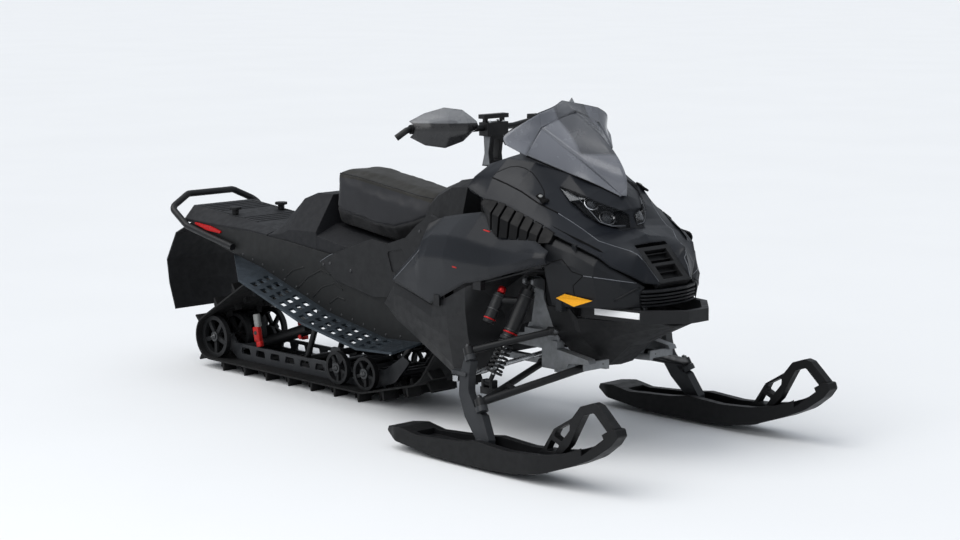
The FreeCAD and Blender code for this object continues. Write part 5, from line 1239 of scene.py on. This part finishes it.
# Pressed lines on the tunnel's side, and ribs on the rear deck.
TUNNEL_LINES = [
    [(286, 277), (293, 270), (304, 267)],
    [(298, 288), (308, 277), (321, 270), (331, 275)],
    [(313, 297), (322, 287), (335, 283), (343, 290)],
    [(330, 303), (338, 297), (345, 300)],
]
DECK_RIBS = [-1.33, -1.3, -1.27, -1.24, -1.21, -1.05, -1.02, -0.99, -0.96]
DECK_RIB_HALF = 0.125
DECK_RAILS = (-0.135, 0.135)
DECK_RAIL_ENDS = (-1.345, -0.945)

# Widths and heights of the pressed lines, the deck's ribs and its rails.
PRESSING = (0.007, 0.0016)
DECK_RIB = (0.009, 0.0022)
DECK_RAIL = (0.008, 0.0022)


def make_tunnel_pressings():
    lines = Shape()
    for points in TUNNEL_LINES:
        trace(lines, "tunnel", points, "photo", *PRESSING)
    lines.make("tunnel_pressings", "tunnel_metal", "tunnel_paint")


def make_deck_ribs():
    ribs = Shape()
    for x in DECK_RIBS:
        trace(ribs, "tail_housing", [(x, -DECK_RIB_HALF), (x, DECK_RIB_HALF)], "above", *DECK_RIB, False)
    for y in DECK_RAILS:
        trace(ribs, "tail_housing", [(x, y) for x in DECK_RAIL_ENDS], "above", *DECK_RAIL, False)
    ribs.make("deck_ribs", "deck_plastic")


# Floor and sky.
FLOOR_COLOUR = (0.8, 0.81, 0.82)
FLOOR_SIZE = 120
FLOOR_HEIGHT = -0.0005
SKY_COLOUR = (0.88, 0.93, 1.0, 1)
SKY_LOW = 0.3
SKY_HIGH = 0.85
SKY_TOP = 0.9

# A broad soft sun from the viewer's upper left, so the floor is even, and a soft panel ahead.
LIGHTS = [
    ("sun", "SUN", (-0.35, -0.75, 1.35), (0, 0, 0),
     {"energy": 1.75, "angle": math.radians(55), "color": (1, 0.98, 0.95)}),
    ("panel", "AREA", (1.5, -5.5, 3.2), (0.3, 0, 0.6),
     {"energy": 60, "shape": "RECTANGLE", "size": 4, "size_y": 1.6}),
]


def make_floor():
    bpy.ops.mesh.primitive_plane_add(size=FLOOR_SIZE, location=(0, 0, FLOOR_HEIGHT))
    floor = bpy.context.object
    floor.name = "floor"
    finish = Finish("floor")
    clouds = finish.ramp(finish.noise(0.8, 3), 0, 1)
    finish.colour(clouds, FLOOR_COLOUR, shade(FLOOR_COLOUR, 0.985))
    finish.set(Roughness=0.9, Specular_IOR_Level=0.1)
    floor.data.materials.append(finish.material)


def make_sky():
    """An even pale sky, brighter towards its top."""
    world = bpy.data.worlds.new("world")
    sky = Nodes(world, "Background", "Generated")
    sky.set(Color=SKY_COLOUR, Strength=sky.along("Z", 0, SKY_TOP, SKY_LOW, SKY_HIGH))
    bpy.context.scene.world = world


def make_lights():
    for name, kind, place, target, settings in LIGHTS:
        light = linked(name, given(bpy.data.lights.new(name, kind), **settings))
        light.location = place
        light.rotation_euler = (Vector(place) - Vector(target)).to_track_quat("Z", "Y").to_euler()


def finish_scene():
    bpy.context.scene.view_settings.view_transform = "Standard"


make_camera()
dress_nodes()
make_seat()
make_seat_piping()
make_seat_stitches()
make_seat_tab()
make_shield()
make_shade_sheet()
make_lamp_bowls()
make_body_lines()
make_latches()
make_cover_screws()
make_tunnel_rivets()
make_axle_nuts()
make_shock_trim()
make_arm_bolts()
make_riser_plates()
make_clamp_bolts()
make_grip_ribs()
make_screen()
make_coupling()
make_tunnel_pressings()
make_deck_ribs()
make_floor()
make_sky()
make_lights()
finish_scene()
